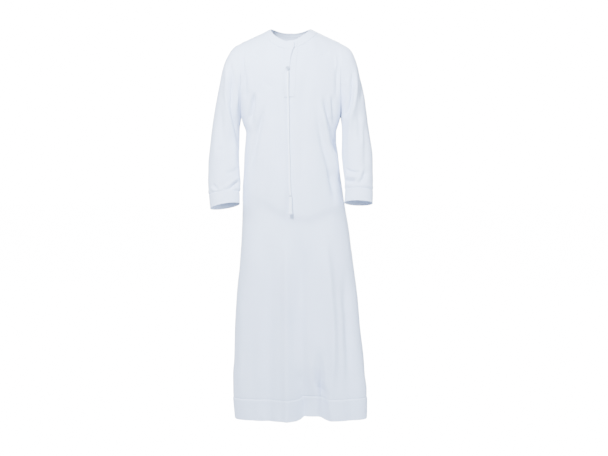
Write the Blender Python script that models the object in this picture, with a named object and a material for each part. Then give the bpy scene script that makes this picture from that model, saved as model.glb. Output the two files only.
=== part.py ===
import math

import bmesh
import bpy
import numpy as np
from mathutils import Vector
from mathutils.bvhtree import BVHTree

# Lengths below are in millimetres. X is to the wearer's left, -Y is the front, Z is up.
# The origin is the middle of the line between the two neck points, where the robe is carried.
MM = 0.001

SEAM = 0.2           # half of the gap left between two sewn pieces
WALL = 1.6           # one layer of cloth as a solid
HEM_WALL = 3.0       # the turned hem, two layers
BAND_LIFT = 0.5      # how far the neck band and cuffs stand over the cloth beside them
BAND_WALL = 2.3
STRIP_WALL = 1.3
STRIP_GAP = 0.7

UNDERARM_Z = -321.0
SIDE_X = 181.0       # the plane of each armhole
SIDE_Y = 4.0
TIP_Z = -49.0        # shoulder end of the shoulder seam
ARMHOLE_FRONT = 72.0
ARMHOLE_BACK = 76.0
HEM_TOP_Z = -1352.5

# Level sections of the body below the arms.
BODY = (
    # height, left, right, front, back, seam y, front power, back power
    (-1432, -206, 279, -88, 118, -3, 2.5, 2.3),
    (-1400, -209, 280, -88, 117, -3, 2.5, 2.3),
    (-1328, -214, 280, -90, 116, -2, 2.5, 2.3),
    (-1269, -214, 273, -92, 115, -1, 2.5, 2.3),
    (-1210, -210, 269, -94, 114, 0, 2.5, 2.3),
    (-1092, -207, 255, -98, 113, 1, 2.5, 2.3),
    (-974, -199, 244, -104, 112, 2, 2.5, 2.3),
    (-856, -188, 229, -111, 110, 3, 2.5, 2.3),
    (-738, -181, 214, -117, 106, 4, 2.5, 2.3),
    (-627, -177, 195, -122, 97, 4, 2.4, 2.3),
    (-583, -177, 189, -123, 93, 4, 2.4, 2.3),
    (-524, -173, 180, -122, 90, 4, 2.4, 2.2),
    (-450, -170, 172, -119, 93, 4, 2.4, 2.2),
    (-406, -166, 166, -117, 96, 4, 2.4, 2.2),
    (-376, -164, 166, -116, 98, 4, 2.4, 2.2),
    (-345, -174, 174, -115, 100, 4, 2.4, 2.2),
    (-321, -180.8, 180.8, -114, 101, 4, 2.4, 2.2),
)

# Neckline and the outer edge of its band: half width, y and z at the neck points,
# then depth and drop at the middle, with the powers of the two curves, and the lean to one side.
NECK = {
    "front": {"half": 75, "y": 0, "z": 0, "depth": -76, "drop": -48, "round": 0.95, "dip": 1.6, "lean": -9},
    "back": {"half": 75, "y": 0, "z": 0, "depth": 66, "drop": -13, "round": 1.0, "dip": 1.6, "lean": 0},
}
BAND = {
    "front": {"half": 99, "y": 1, "z": -11, "depth": -89, "drop": -64, "round": 0.95, "dip": 1.6, "lean": -9},
    "back": {"half": 99, "y": 1, "z": -11, "depth": 77, "drop": -26, "round": 1.0, "dip": 1.6, "lean": 0},
}
SHOULDER_SHARE = 0.22    # share of the columns that end on each shoulder seam
# Height of the line over the shoulders, by distance from the middle.
RIDGE = {"half": (0, 75, 99, 181), "height": (16, 0, -11, -49)}

# Soft folds: the path in front view as (x, z) points, then width and height (below zero is a trough).
FRONT_FOLDS = (
    {"path": ((-128, -235), (-142, -327), (-148, -372)), "width": 14, "height": -6.0, "open": False},
    {"path": ((-104, -290), (-126, -399), (-141, -471), (-149, -560)),
     "width": 17, "height": -4.0, "open": False},
    {"path": ((122, -245), (146, -327), (158, -385), (162, -470)),
     "width": 16, "height": -6.5, "open": False},
    {"path": ((100, -370), (131, -424), (150, -500), (162, -560), (164, -650)),
     "width": 19, "height": -6.0, "open": False},
    {"path": ((106, -240), (134, -390), (160, -497), (170, -560)), "width": 13, "height": 3.0, "open": False},
    {"path": ((-14, -720), (-12, -1000), (-8, -1432)), "width": 20, "height": 6.0, "open": True},
    {"path": ((12, -930), (14, -1120), (20, -1432)), "width": 15, "height": -6.0, "open": True},
    {"path": ((104, -700), (122, -840), (150, -1163), (158, -1300)),
     "width": 21, "height": 6.5, "open": False},
    {"path": ((182, -830), (196, -1000), (212, -1200), (222, -1432)),
     "width": 24, "height": -7.5, "open": True},
    {"path": ((-92, -900), (-100, -1100), (-108, -1432)), "width": 34, "height": -7.0, "open": True},
    {"path": ((-142, -680), (-152, -900), (-166, -1250)), "width": 30, "height": 5.0, "open": False},
    {"path": ((52, -760), (62, -900), (74, -1130)), "width": 24, "height": -4.0, "open": False},
)
BACK_FOLDS = (
    {"path": ((-10, -640), (-4, -900), (0, -1432)), "width": 30, "height": 7.0, "open": True},
    {"path": ((-84, -560), (-92, -900), (-104, -1432)), "width": 30, "height": -8.0, "open": True},
    {"path": ((74, -600), (92, -940), (106, -1432)), "width": 32, "height": -8.0, "open": True},
    {"path": ((-140, -760), (-150, -1000), (-160, -1432)), "width": 26, "height": 6.0, "open": True},
    {"path": ((140, -700), (166, -1000), (186, -1432)), "width": 28, "height": 6.5, "open": True},
    {"path": ((-120, -230), (-138, -330), (-140, -470)), "width": 18, "height": -6.0, "open": False},
    {"path": ((118, -235), (136, -340), (138, -480)), "width": 18, "height": -6.0, "open": False},
    {"path": ((0, -360), (-6, -470), (-4, -600)), "width": 30, "height": -5.0, "open": False},
)
# The hem stands back and a little higher between the legs.
RECESS = {"left": (30, 50), "right": (94, 148), "top": -1130, "depth": 34, "rise": 13}

# Sleeve rings from the armhole to the cuff's top edge, on the wearer's right (-X).
SLEEVE_RIGHT = (
    # inner x, inner z, outer x, outer z, y, half depth front, half depth back, tilt, vee
    (-181.2, -321, -181.2, -49, 4, 72, 76, 0, 1.0),
    (-182.0, -322.5, -203, -61, 4, 72, 75, 0, 0.82),
    (-182.4, -324, -219, -75, 4, 72, 74, 0, 0.64),
    (-182.7, -326, -230, -93, 3, 71, 73, 0, 0.48),
    (-183.0, -328.5, -240, -115, 3, 71, 72, 0, 0.35),
    (-183.4, -331.5, -249, -146, 2, 70, 70, 0, 0.24),
    (-183.9, -335.5, -258, -186, 1, 69, 68, 0, 0.15),
    (-184.6, -340.5, -267, -228, 0, 68, 66, 0, 0.08),
    (-185.4, -347, -275, -270, -1, 67, 65, 1, 0.04),
    (-186.5, -356, -283, -315, -2, 66, 64, 1, 0.02),
    (-187.5, -371, -289, -355, -3, 65, 63, 2, 0),
    (-188.5, -396, -294, -394, -5, 64, 62, 3, 0),
    (-189.0, -432, -298, -432, -10, 62, 60, 4, 0),
    (-189.0, -468, -301, -470, -17, 60, 58, 5, 0),
    (-188.0, -502, -303, -508, -25, 57, 55, 6, 0),
    (-186.5, -530, -303, -538, -33, 54, 51, 7, 0),
    (-184.5, -556, -302, -564, -41, 50, 47, 9, 0),
    (-185.5, -578, -300, -587, -47, 46, 43, 10, 0),
    (-187.5, -592, -298, -603, -51, 43, 40, 11, 0),
)
SLEEVE_LEFT = (
    # inner x, inner z, outer x, outer z, y, half depth front, half depth back, tilt, vee
    (181.2, -321, 181.2, -49, 4, 72, 76, 0, 1.0),
    (182.0, -322.5, 203, -61, 4, 72, 75, 0, 0.82),
    (182.4, -324, 219, -75, 4, 72, 74, 0, 0.64),
    (182.7, -326, 230, -93, 3, 71, 73, 0, 0.48),
    (183.0, -328.5, 240, -115, 3, 71, 72, 0, 0.35),
    (183.4, -331.5, 249, -146, 2, 70, 70, 0, 0.24),
    (183.9, -335.5, 258, -186, 1, 69, 68, 0, 0.15),
    (184.6, -340.5, 267, -228, 0, 68, 66, 0, 0.08),
    (185.4, -347, 274, -270, -1, 67, 65, 1, 0.04),
    (186.2, -356, 280, -315, -2, 66, 64, 1, 0.02),
    (186.8, -371, 286, -355, -3, 65, 63, 2, 0),
    (187.0, -396, 291, -394, -6, 64, 62, 3, 0),
    (187.0, -432, 296, -432, -12, 62, 60, 4, 0),
    (188.0, -468, 299, -470, -20, 60, 58, 5, 0),
    (190.5, -502, 300, -504, -29, 57, 54, 6, 0),
    (193.5, -528, 300, -530, -38, 54, 50, 8, 0),
    (195.5, -551, 300, -552, -46, 50, 46, 9, 0),
    (197.0, -571, 299, -573, -53, 46, 42, 10, 0),
    (198.0, -584, 298, -587, -57, 43, 40, 11, 0),
)
# Cuff rings, same columns. The first row is the sleeve's last.
CUFF_RIGHT = (
    (-187.5, -592, -298, -603, -51, 43, 40, 11, 0),
    (-187.0, -605, -296.5, -618, -54, 42.5, 39.5, 11.5, 0),
    (-186.5, -618, -295, -635, -57, 42, 39, 12, 0),
    (-186.0, -634, -293, -652, -60, 42, 39, 12, 0),
)
CUFF_LEFT = (
    (198.0, -584, 298, -587, -57, 43, 40, 11, 0),
    (197.5, -597, 298, -600, -60, 42.5, 39.5, 11.5, 0),
    (196.5, -611, 298, -615, -63, 42, 39, 12, 0),
    (195.5, -630, 297.5, -633, -66, 42, 39, 12, 0),
)
SLEEVE_FOLDS_RIGHT = (
    {"path": ((-238, -105), (-238, -180), (-237, -250)), "width": 13, "height": 3.0, "open": False},
    {"path": ((-228, -250), (-212, -315), (-190, -385)), "width": 14, "height": -5.0, "open": False},
    {"path": ((-248, -250), (-233, -330), (-222, -420)), "width": 14, "height": 3.0, "open": False},
    {"path": ((-188, -548), (-214, -574), (-262, -576)), "width": 12, "height": -3.5, "open": False},
)
SLEEVE_FOLDS_LEFT = (
    {"path": ((234, -130), (234, -242), (219, -297), (198, -400)), "width": 13, "height": 3.5, "open": False},
    {"path": ((258, -165), (259, -250), (252, -320)), "width": 13, "height": -3.5, "open": False},
    {"path": ((219, -205), (214, -260), (194, -325)), "width": 13, "height": -4.0, "open": False},
    {"path": ((268, -505), (262, -530), (245, -556), (205, -560)),
     "width": 12, "height": -3.5, "open": False},
)

# Front strips, as x at heights. The over strip's right edge leans open above the fastening.
STRIP_HEIGHTS = (-66, -81, -103, -132, -164, -195, -225, -250)
OVER_LEFT = (-24, -24, -24, -24, -24, -24, -24, -23)
OVER_RIGHT = (13, 7, 1, -2.5, -5, -6, -6, -3)
OVER_OPEN = (2.6, 2.4, 1.6, 0.3, 0, 0, 0, 0)
UNDER_LEFT = (-5, -5, -6, -8, -10, -11, -11, -10)
UNDER_RIGHT = (24, 24, 23, 21, 19, 18, 17, 15)
SLIT_END_Z = -243
BUTTON = {"x": -9.5, "z": -147, "radius": 4.4, "flat": 3.4, "loop": 6.6, "loop_radius": 0.9}
# The tassel's cord from the fastening down the front, then its brush.
CORD_ROUTE = (
    (-9.8, -118.6, -157.0), (-9.9, -120.4, -191.1), (-9.7, -121.3, -225.3), (-8.9, -120.4, -259.4),
    (-8.0, -119.0, -293.5), (-7.6, -120.1, -327.6), (-7.4, -121.2, -361.7), (-7.1, -122.4, -395.8),
    (-6.4, -123.9, -429.9), (-5.4, -125.5, -464.1), (-4.6, -126.7, -498.2), (-3.9, -127.5, -532.3),
    (-3.0, -127.9, -566.4), (-0.9, -127.9, -600.3),
)
CORD_POINTS = 34
CORD_RADIUS = 3.7
TASSEL = {"x": -0.6, "top": -600.9, "head": 14, "head_radius": 5.2, "length": 70, "radius": 6.6}

FRONT_COLUMNS = {"shoulder": 6, "neck": 11}
BACK_COLUMNS = {"shoulder": 5, "neck": 14}
UPPER_ROWS = 12
LOWER_HEIGHTS = (
    -1432, -1391, -1353, -1352, -1310, -1262, -1212, -1162, -1110, -1058, -1004, -950, -896, -842, -788, -736,
    -684, -634, -586, -540, -496, -456, -420, -388, -362, -340, -321,
)


def smooth(at, knots, values):
    """A curve through the values that doesn't swing past them."""
    at = np.asarray(at, float)
    knots, values = np.asarray(knots, float), np.asarray(values, float)
    step = np.diff(knots)
    rise = np.diff(values) / step
    slope = np.zeros(len(knots))
    slope[0], slope[-1] = rise[0], rise[-1]
    for i in range(1, len(knots) - 1):
        if rise[i - 1] * rise[i] > 0:
            a, b = 2 * step[i] + step[i - 1], step[i] + 2 * step[i - 1]
            slope[i] = (a + b) / (a / rise[i - 1] + b / rise[i])
    i = np.clip(np.searchsorted(knots, at) - 1, 0, len(step) - 1)
    t = np.clip((at - knots[i]) / step[i], 0, 1)
    return (
        values[i] * (2 * t**3 - 3 * t**2 + 1)
        + values[i + 1] * (3 * t**2 - 2 * t**3)
        + step[i] * (slope[i] * (t**3 - 2 * t**2 + t) + slope[i + 1] * (t**3 - t**2))
    )


def ease(value, low, high):
    t = np.clip((np.asarray(value, float) - low) / (high - low), 0, 1)
    return t * t * (3 - 2 * t)


def fold_height(folds, x, z):
    """Height of all the folds at points of the front view."""
    total = np.zeros(np.shape(x))
    for fold in folds:
        path = np.array(fold["path"], float)
        lengths = np.linalg.norm(np.diff(path, axis=0), axis=1)
        whole = lengths.sum()
        nearest = np.full(np.shape(x), 1e9)
        along = np.zeros(np.shape(x))
        start = 0.0
        for a, b, length in zip(path[:-1], path[1:], lengths):
            t = np.clip(((x - a[0]) * (b[0] - a[0]) + (z - a[1]) * (b[1] - a[1])) / length**2, 0, 1)
            distance = np.hypot(x - a[0] - t * (b[0] - a[0]), z - a[1] - t * (b[1] - a[1]))
            closer = distance < nearest
            nearest = np.where(closer, distance, nearest)
            along = np.where(closer, (start + t * length) / whole, along)
            start += length
        fade = ease(along, 0, 0.3) * (1 if fold["open"] else ease(1 - along, 0, 0.3))
        total += fold["height"] * fade * np.exp(-((nearest / fold["width"]) ** 2))
    return total


def neck_curve(table, q):
    """Points of a neck edge, q from the wearer's right neck point to the left."""
    swing = np.clip(np.sin(np.pi * q), 0, 1)
    return np.stack([
        -table["half"] * np.cos(np.pi * q) + table["lean"] * swing,
        table["y"] + table["depth"] * swing ** table["round"],
        table["z"] + table["drop"] * swing ** table["dip"],
    ], -1)


def body_section(side, s, z):
    """Points of the body below the arms, s from the wearer's right side seam to the left."""
    height, left, right, front, back, seam, front_power, back_power = np.array(BODY, float).T
    left, right, seam = (smooth(z, height, v) for v in (left, right, seam))
    depth = smooth(z, height, front if side == "front" else back)
    power = smooth(z, height, front_power if side == "front" else back_power)
    turn = np.cos(np.pi * s)
    x = (left + right) / 2 - (right - left) / 2 * np.sign(turn) * np.abs(turn) ** (2 / power)
    y = seam + (depth - seam) * np.clip(np.sin(np.pi * s), 0, 1) ** (2 / power)
    return np.stack([x, y, np.broadcast_to(z, x.shape)], -1)


def bulge(turn):
    """How far an armhole stands out from its straight line, from the underarm (0) up to the shoulder."""
    return np.sin(turn) * np.sin(turn / 2) ** 0.5 / 0.8621


def armhole(side, count):
    """Points of one half of the armhole in its plane, (y, z), evenly spaced from the underarm up."""
    turn = np.linspace(0, np.pi, 400)
    depth = -ARMHOLE_FRONT if side == "front" else ARMHOLE_BACK
    y = SIDE_Y + depth * bulge(turn)
    z = (UNDERARM_Z + TIP_Z) / 2 - (TIP_Z - UNDERARM_Z) / 2 * np.cos(turn)
    return even(np.stack([y, z], -1), count)


def even(points, count):
    """The same line with count + 1 points at even steps."""
    walked = np.concatenate([[0], np.cumsum(np.linalg.norm(np.diff(points, axis=0), axis=1))])
    at = np.linspace(0, walked[-1], count + 1)
    return np.stack([np.interp(at, walked, points[:, k]) for k in range(points.shape[1])], -1)


def hermite(low, start, top, finish, t):
    return (
        low * (2 * t**3 - 3 * t**2 + 1) + start * (t**3 - 2 * t**2 + t)
        + top * (3 * t**2 - 2 * t**3) + finish * (t**3 - t**2)
    )


def chest_profile(side, s, t):
    """Points over the chest or the back, before the armholes draw them in."""
    low = body_section(side, s, np.full(s.shape, UNDERARM_Z))
    below = body_section(side, s, np.full(s.shape, UNDERARM_Z - 8.0))
    share = np.clip(np.abs(low[..., 0]) / SIDE_X, 0, 1)
    ridge = smooth(np.abs(low[..., 0]), RIDGE["half"], RIDGE["height"])
    top = np.stack([low[..., 0], SIDE_Y * share, ridge], -1)
    reach = np.linalg.norm(top - low, axis=-1)[..., None]
    start = (low - below) / 8.0 * (0, 1, 1) * reach * 0.95
    tilt = 0.2 * (1 - share**2)
    over = np.stack([0 * tilt, np.sqrt(1 - tilt**2), tilt], -1) * (1 if side == "front" else -1)
    finish = over * reach * (0.9 + 0.2 * (1 - share**2))[..., None]
    return hermite(low, start, top, finish, np.asarray(t)[..., None])


def upper_surface(side, s, t):
    """The cloth from the underarm level (t = 0) to the line over the shoulders (t = 1)."""
    s, t = np.broadcast_arrays(np.asarray(s, float), np.asarray(t, float))
    points = chest_profile(side, s, t)
    edge = armhole(side, 240)
    at = np.linspace(0, 1, 241)
    drawn = np.stack([np.full(t.shape, SIDE_X - SEAM), np.interp(t, at, edge[:, 0]),
                      np.interp(t, at, edge[:, 1])], -1)
    for sign, end, run in ((-1, 0.0, s), (1, 1.0, 1 - s)):
        pull = drawn * (sign, 1, 1) - chest_profile(side, np.full(s.shape, end), t)
        points = points + pull * (np.clip(1 - run / 0.5, 0, 1) ** 3.0)[..., None]
    return points


def place_on(side, wanted):
    """The (s, t) of the points of the upper surface that are nearest to the wanted ones."""
    s, t = np.meshgrid(np.linspace(0.15, 0.85, 211), np.linspace(0.35, 1, 131), indexing="ij")
    points = upper_surface(side, s, t)
    found = []
    for point in wanted:
        k = np.unravel_index(np.argmin(np.sum((points - point) ** 2, -1)), s.shape)
        near_s, near_t = np.meshgrid(s[k] + np.linspace(-1, 1, 21) / 280,
                                     np.clip(t[k] + np.linspace(-1, 1, 21) / 190, 0, 1), indexing="ij")
        close = upper_surface(side, near_s, near_t)
        m = np.unravel_index(np.argmin(np.sum((close - point) ** 2, -1)), near_s.shape)
        found.append((near_s[m], near_t[m]))
    return np.array(found)


def share_of(side, x):
    """The s of the upper surface's column at this distance from the middle, on the wearer's right."""
    power = BODY[-1][6 if side == "front" else 7]
    return math.acos((x / (SIDE_X - SEAM)) ** (power / 2)) / math.pi


def neck_places(side, q, table):
    """The (s, t) of a neck edge at each q, ending on the shoulder line."""
    places = place_on(side, neck_curve(table[side], q))
    end = share_of(side, table[side]["half"])
    places[q <= 1e-9] = (end, 1)
    places[q >= 1 - 1e-9] = (1 - end, 1)
    return places


def upper_panel(side, s, rows):
    """Rows of points from the underarm to the shoulder seams and the neck band."""
    share = SHOULDER_SHARE
    q = (s - share) / (1 - 2 * share)
    neck = (q >= -1e-9) & (q <= 1 + 1e-9)
    top = np.zeros((len(s), 2))
    top[neck] = neck_places(side, np.clip(q[neck], 0, 1), BAND)
    for k in np.where(~neck)[0]:
        run = min(s[k], 1 - s[k]) / share
        x = (SIDE_X - SEAM) + (BAND[side]["half"] - SIDE_X + SEAM) * run
        place = share_of(side, x)
        top[k] = (place if s[k] < 0.5 else 1 - place, 1)
    grid = []
    for row in range(rows + 1):
        t = row / rows
        blend = float(ease(t, 0, 1))
        grid.append(upper_surface(side, s + (top[:, 0] - s) * blend, top[:, 1] * t))
    return np.array(grid)


def grid_normals(grid, outward):
    """Unit normals of a grid of points, turned to the side where outward says."""
    along = np.gradient(grid, axis=0)
    across = np.gradient(grid, axis=1)
    normal = np.cross(across, along)
    normal /= np.maximum(np.linalg.norm(normal, axis=-1, keepdims=True), 1e-9)
    return normal * np.where(np.sum(normal * outward, -1, keepdims=True) < 0, -1, 1)


def panel(side, s, lower_heights, upper_rows):
    """Outer points of the front or back."""
    heights = np.array(lower_heights, float)
    lower = np.array([body_section(side, s, np.full(s.shape, z)) for z in heights])
    grid = np.concatenate([lower, upper_panel(side, s, upper_rows)[1:]])
    normal = grid_normals(grid, np.array([0, -1 if side == "front" else 1, 0]))
    climb = 1 - ease(np.arange(1, upper_rows + 1), upper_rows * 0.5, upper_rows)
    hold = ease(s, 0, 0.07) * ease(1 - s, 0, 0.07)
    hold = hold[None, :] * np.concatenate([np.ones(len(heights)), climb])[:, None]
    folds = FRONT_FOLDS if side == "front" else BACK_FOLDS
    grid = grid + normal * (fold_height(folds, grid[..., 0], grid[..., 2]) * hold)[..., None]
    if side == "front":
        x, z = grid[..., 0], grid[..., 2]
        back = ease(x, *RECESS["left"]) * (1 - ease(x, *RECESS["right"]))
        back = back * ease(-z, -RECESS["top"], 1432) ** 1.3
        grid = grid + np.stack([0 * x, RECESS["depth"] * back, RECESS["rise"] * back], -1)
    return grid


def in_plane_normals(points):
    """Normals of one half of the armhole in its plane, away from its middle."""
    along = np.gradient(points, axis=0)
    normal = np.stack([along[:, 1], -along[:, 0]], -1)
    normal /= np.linalg.norm(normal, axis=-1, keepdims=True)
    away = points - np.array([SIDE_Y, (UNDERARM_Z + TIP_Z) / 2])
    return normal * np.where(np.sum(normal * away, -1, keepdims=True) < 0, -1, 1)


def sleeve_rings(table, steps, count):
    """Rings of 2 * count points: from the inner side over the front to the outer side, then the back."""
    rows = np.array(table, float)
    index = np.arange(len(rows))
    turn = np.linspace(0, np.pi, 200)
    rings = []
    for step in steps:
        ix, iz, ox, oz, y, front, back, tilt, vee = (smooth(step, index, rows[:, k]) for k in range(9))
        run = (1 - np.cos(turn)) / 2
        halves = []
        for depth, lift in ((-front, tilt), (back, -tilt)):
            swell = vee * bulge(turn) + (1 - vee) * np.sin(turn) ** 0.93
            line = np.stack([ix + (ox - ix) * run, y + depth * swell,
                             iz + (oz - iz) * run + lift * swell], -1)
            halves.append(even(line, count))
        rings.append(np.concatenate([halves[0], halves[1][-2:0:-1]]))
    return np.array(rings)


def ring_normals(rings):
    """Normals of closed rings, away from each ring's middle."""
    along = np.gradient(rings, axis=0)
    across = np.roll(rings, -1, 1) - np.roll(rings, 1, 1)
    normal = np.cross(across, along)
    normal /= np.linalg.norm(normal, axis=-1, keepdims=True)
    away = rings - rings.mean(1, keepdims=True)
    return normal * np.where(np.sum(normal * away, -1, keepdims=True) < 0, -1, 1)


def make(name, points, faces, colour, roughness):
    mesh = bpy.data.meshes.new(name)
    mesh.from_pydata([tuple(float(v) * MM for v in p) for p in points], [], faces)
    shape = bmesh.new()
    shape.from_mesh(mesh)
    bmesh.ops.delete(shape, geom=[v for v in shape.verts if not v.link_faces], context="VERTS")
    bmesh.ops.recalc_face_normals(shape, faces=shape.faces)
    if shape.calc_volume(signed=True) < 0:
        bmesh.ops.reverse_faces(shape, faces=shape.faces)
    shape.to_mesh(mesh)
    shape.free()
    mesh.shade_smooth()
    mesh.set_sharp_from_angle(angle=math.radians(50))
    material = bpy.data.materials.new(name)
    material.use_nodes = True
    shader = material.node_tree.nodes["Principled BSDF"]
    shader.inputs["Base Color"].default_value = (*colour, 1)
    shader.inputs["Roughness"].default_value = roughness
    mesh.materials.append(material)
    piece = bpy.data.objects.new(name, mesh)
    bpy.context.scene.collection.objects.link(piece)
    return piece


def shell(name, outer, inner, colour, closed=False, cut=()):
    """A closed solid between two grids of points. Cells named in cut are left open."""
    rows, columns = outer.shape[:2]
    layer = rows * columns
    cells = {(i, j) for i in range(rows - 1) for j in range(columns if closed else columns - 1)} - set(cut)
    faces = []

    def at(i, j):
        return i * columns + j % columns

    for i, j in sorted(cells):
        ring = (at(i, j), at(i, j + 1), at(i + 1, j + 1), at(i + 1, j))
        faces.append(ring)
        faces.append(tuple(layer + v for v in reversed(ring)))
        sides = ((i - 1, j, 0, 1), (i, j + 1, 1, 2), (i + 1, j, 2, 3), (i, j - 1, 3, 0))
        for ni, nj, a, b in sides:
            if closed:
                nj %= columns
            if (ni, nj) not in cells:
                faces.append((ring[b], ring[a], layer + ring[a], layer + ring[b]))
    points = np.concatenate([outer.reshape(-1, 3), inner.reshape(-1, 3)])
    return make(name, points, faces, colour, 0.75)


def tube(name, path, radius, sides, colour, closed=False):
    """A round cord through the points, as points and faces made into an object."""
    path = np.array(path, float)
    count = len(path)
    ahead = np.roll(path, -1, 0) - np.roll(path, 1, 0)
    if not closed:
        ahead[0], ahead[-1] = path[1] - path[0], path[-1] - path[-2]
    ahead /= np.linalg.norm(ahead, axis=1, keepdims=True)
    side = np.cross(ahead[0], (0.1, 1, 0.1))
    points, faces = [], []
    for k in range(count):
        side = side - ahead[k] * side.dot(ahead[k])
        side /= np.linalg.norm(side)
        other = np.cross(ahead[k], side)
        for n in range(sides):
            turn = 2 * math.pi * n / sides
            points.append(path[k] + radius * (math.cos(turn) * side + math.sin(turn) * other))
    for k in range(count if closed else count - 1):
        for n in range(sides):
            a, b = k * sides, (k + 1) % count * sides
            faces.append((a + n, a + (n + 1) % sides, b + (n + 1) % sides, b + n))
    if not closed:
        faces.append(tuple(range(sides))[::-1])
        faces.append(tuple((count - 1) * sides + n for n in range(sides)))
    return make(name, points, faces, colour, 0.7)


def surface_of(grids):
    """A searchable surface of several grids, for what is laid on them."""
    points, faces = [], []
    for grid in grids:
        rows, columns = grid.shape[:2]
        first = len(points)
        points.extend(map(tuple, grid.reshape(-1, 3)))
        for i in range(rows - 1):
            for j in range(columns - 1):
                a = first + i * columns + j
                faces.append((a, a + 1, a + columns + 1))
                faces.append((a, a + columns + 1, a + columns))
    return BVHTree.FromPolygons(points, faces)


def front_y(surface, x, z):
    hit = surface.ray_cast(Vector((x, -600, z)), Vector((0, 1, 0)))[0]
    return hit.y if hit else None


def strip(name, surface, left, right, lift, colour, columns, top):
    """A flat strip laid on the front. Lift gives its height over the cloth at each column and row."""
    heights = list(STRIP_HEIGHTS)
    rows = np.concatenate([[top, -53.5, -58, -62], np.linspace(heights[0], heights[-1], 15)])
    under, over = [], []
    knots = [-h for h in heights]
    for z in rows:
        low = float(smooth(-z, knots, left))
        high = float(smooth(-z, knots, right))
        line = []
        for k in range(columns + 1):
            x = low + (high - low) * k / columns
            y = front_y(surface, x, z)
            if y is None:
                y = front_y(surface, x, z - 3)
            line.append((x, y - lift(x, z), z))
        under.append(line)
        over.append([(x, y - STRIP_WALL, z) for x, y, z in line])
    return shell(name, np.array(over), np.array(under), colour), np.array(over)


def columns_of(counts, extra=()):
    share = SHOULDER_SHARE
    middle = np.linspace(share, 1 - share, counts["neck"] * 2 + 1)
    s = np.concatenate([np.linspace(0, share, counts["shoulder"] + 1)[:-1], middle,
                        np.linspace(1 - share, 1, counts["shoulder"] + 1)[1:]])
    for low, high in extra:
        s = s[(s < low - 0.006) | (s > high + 0.006)]
        s = np.sort(np.append(s, [low, high]))
    return s


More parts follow.
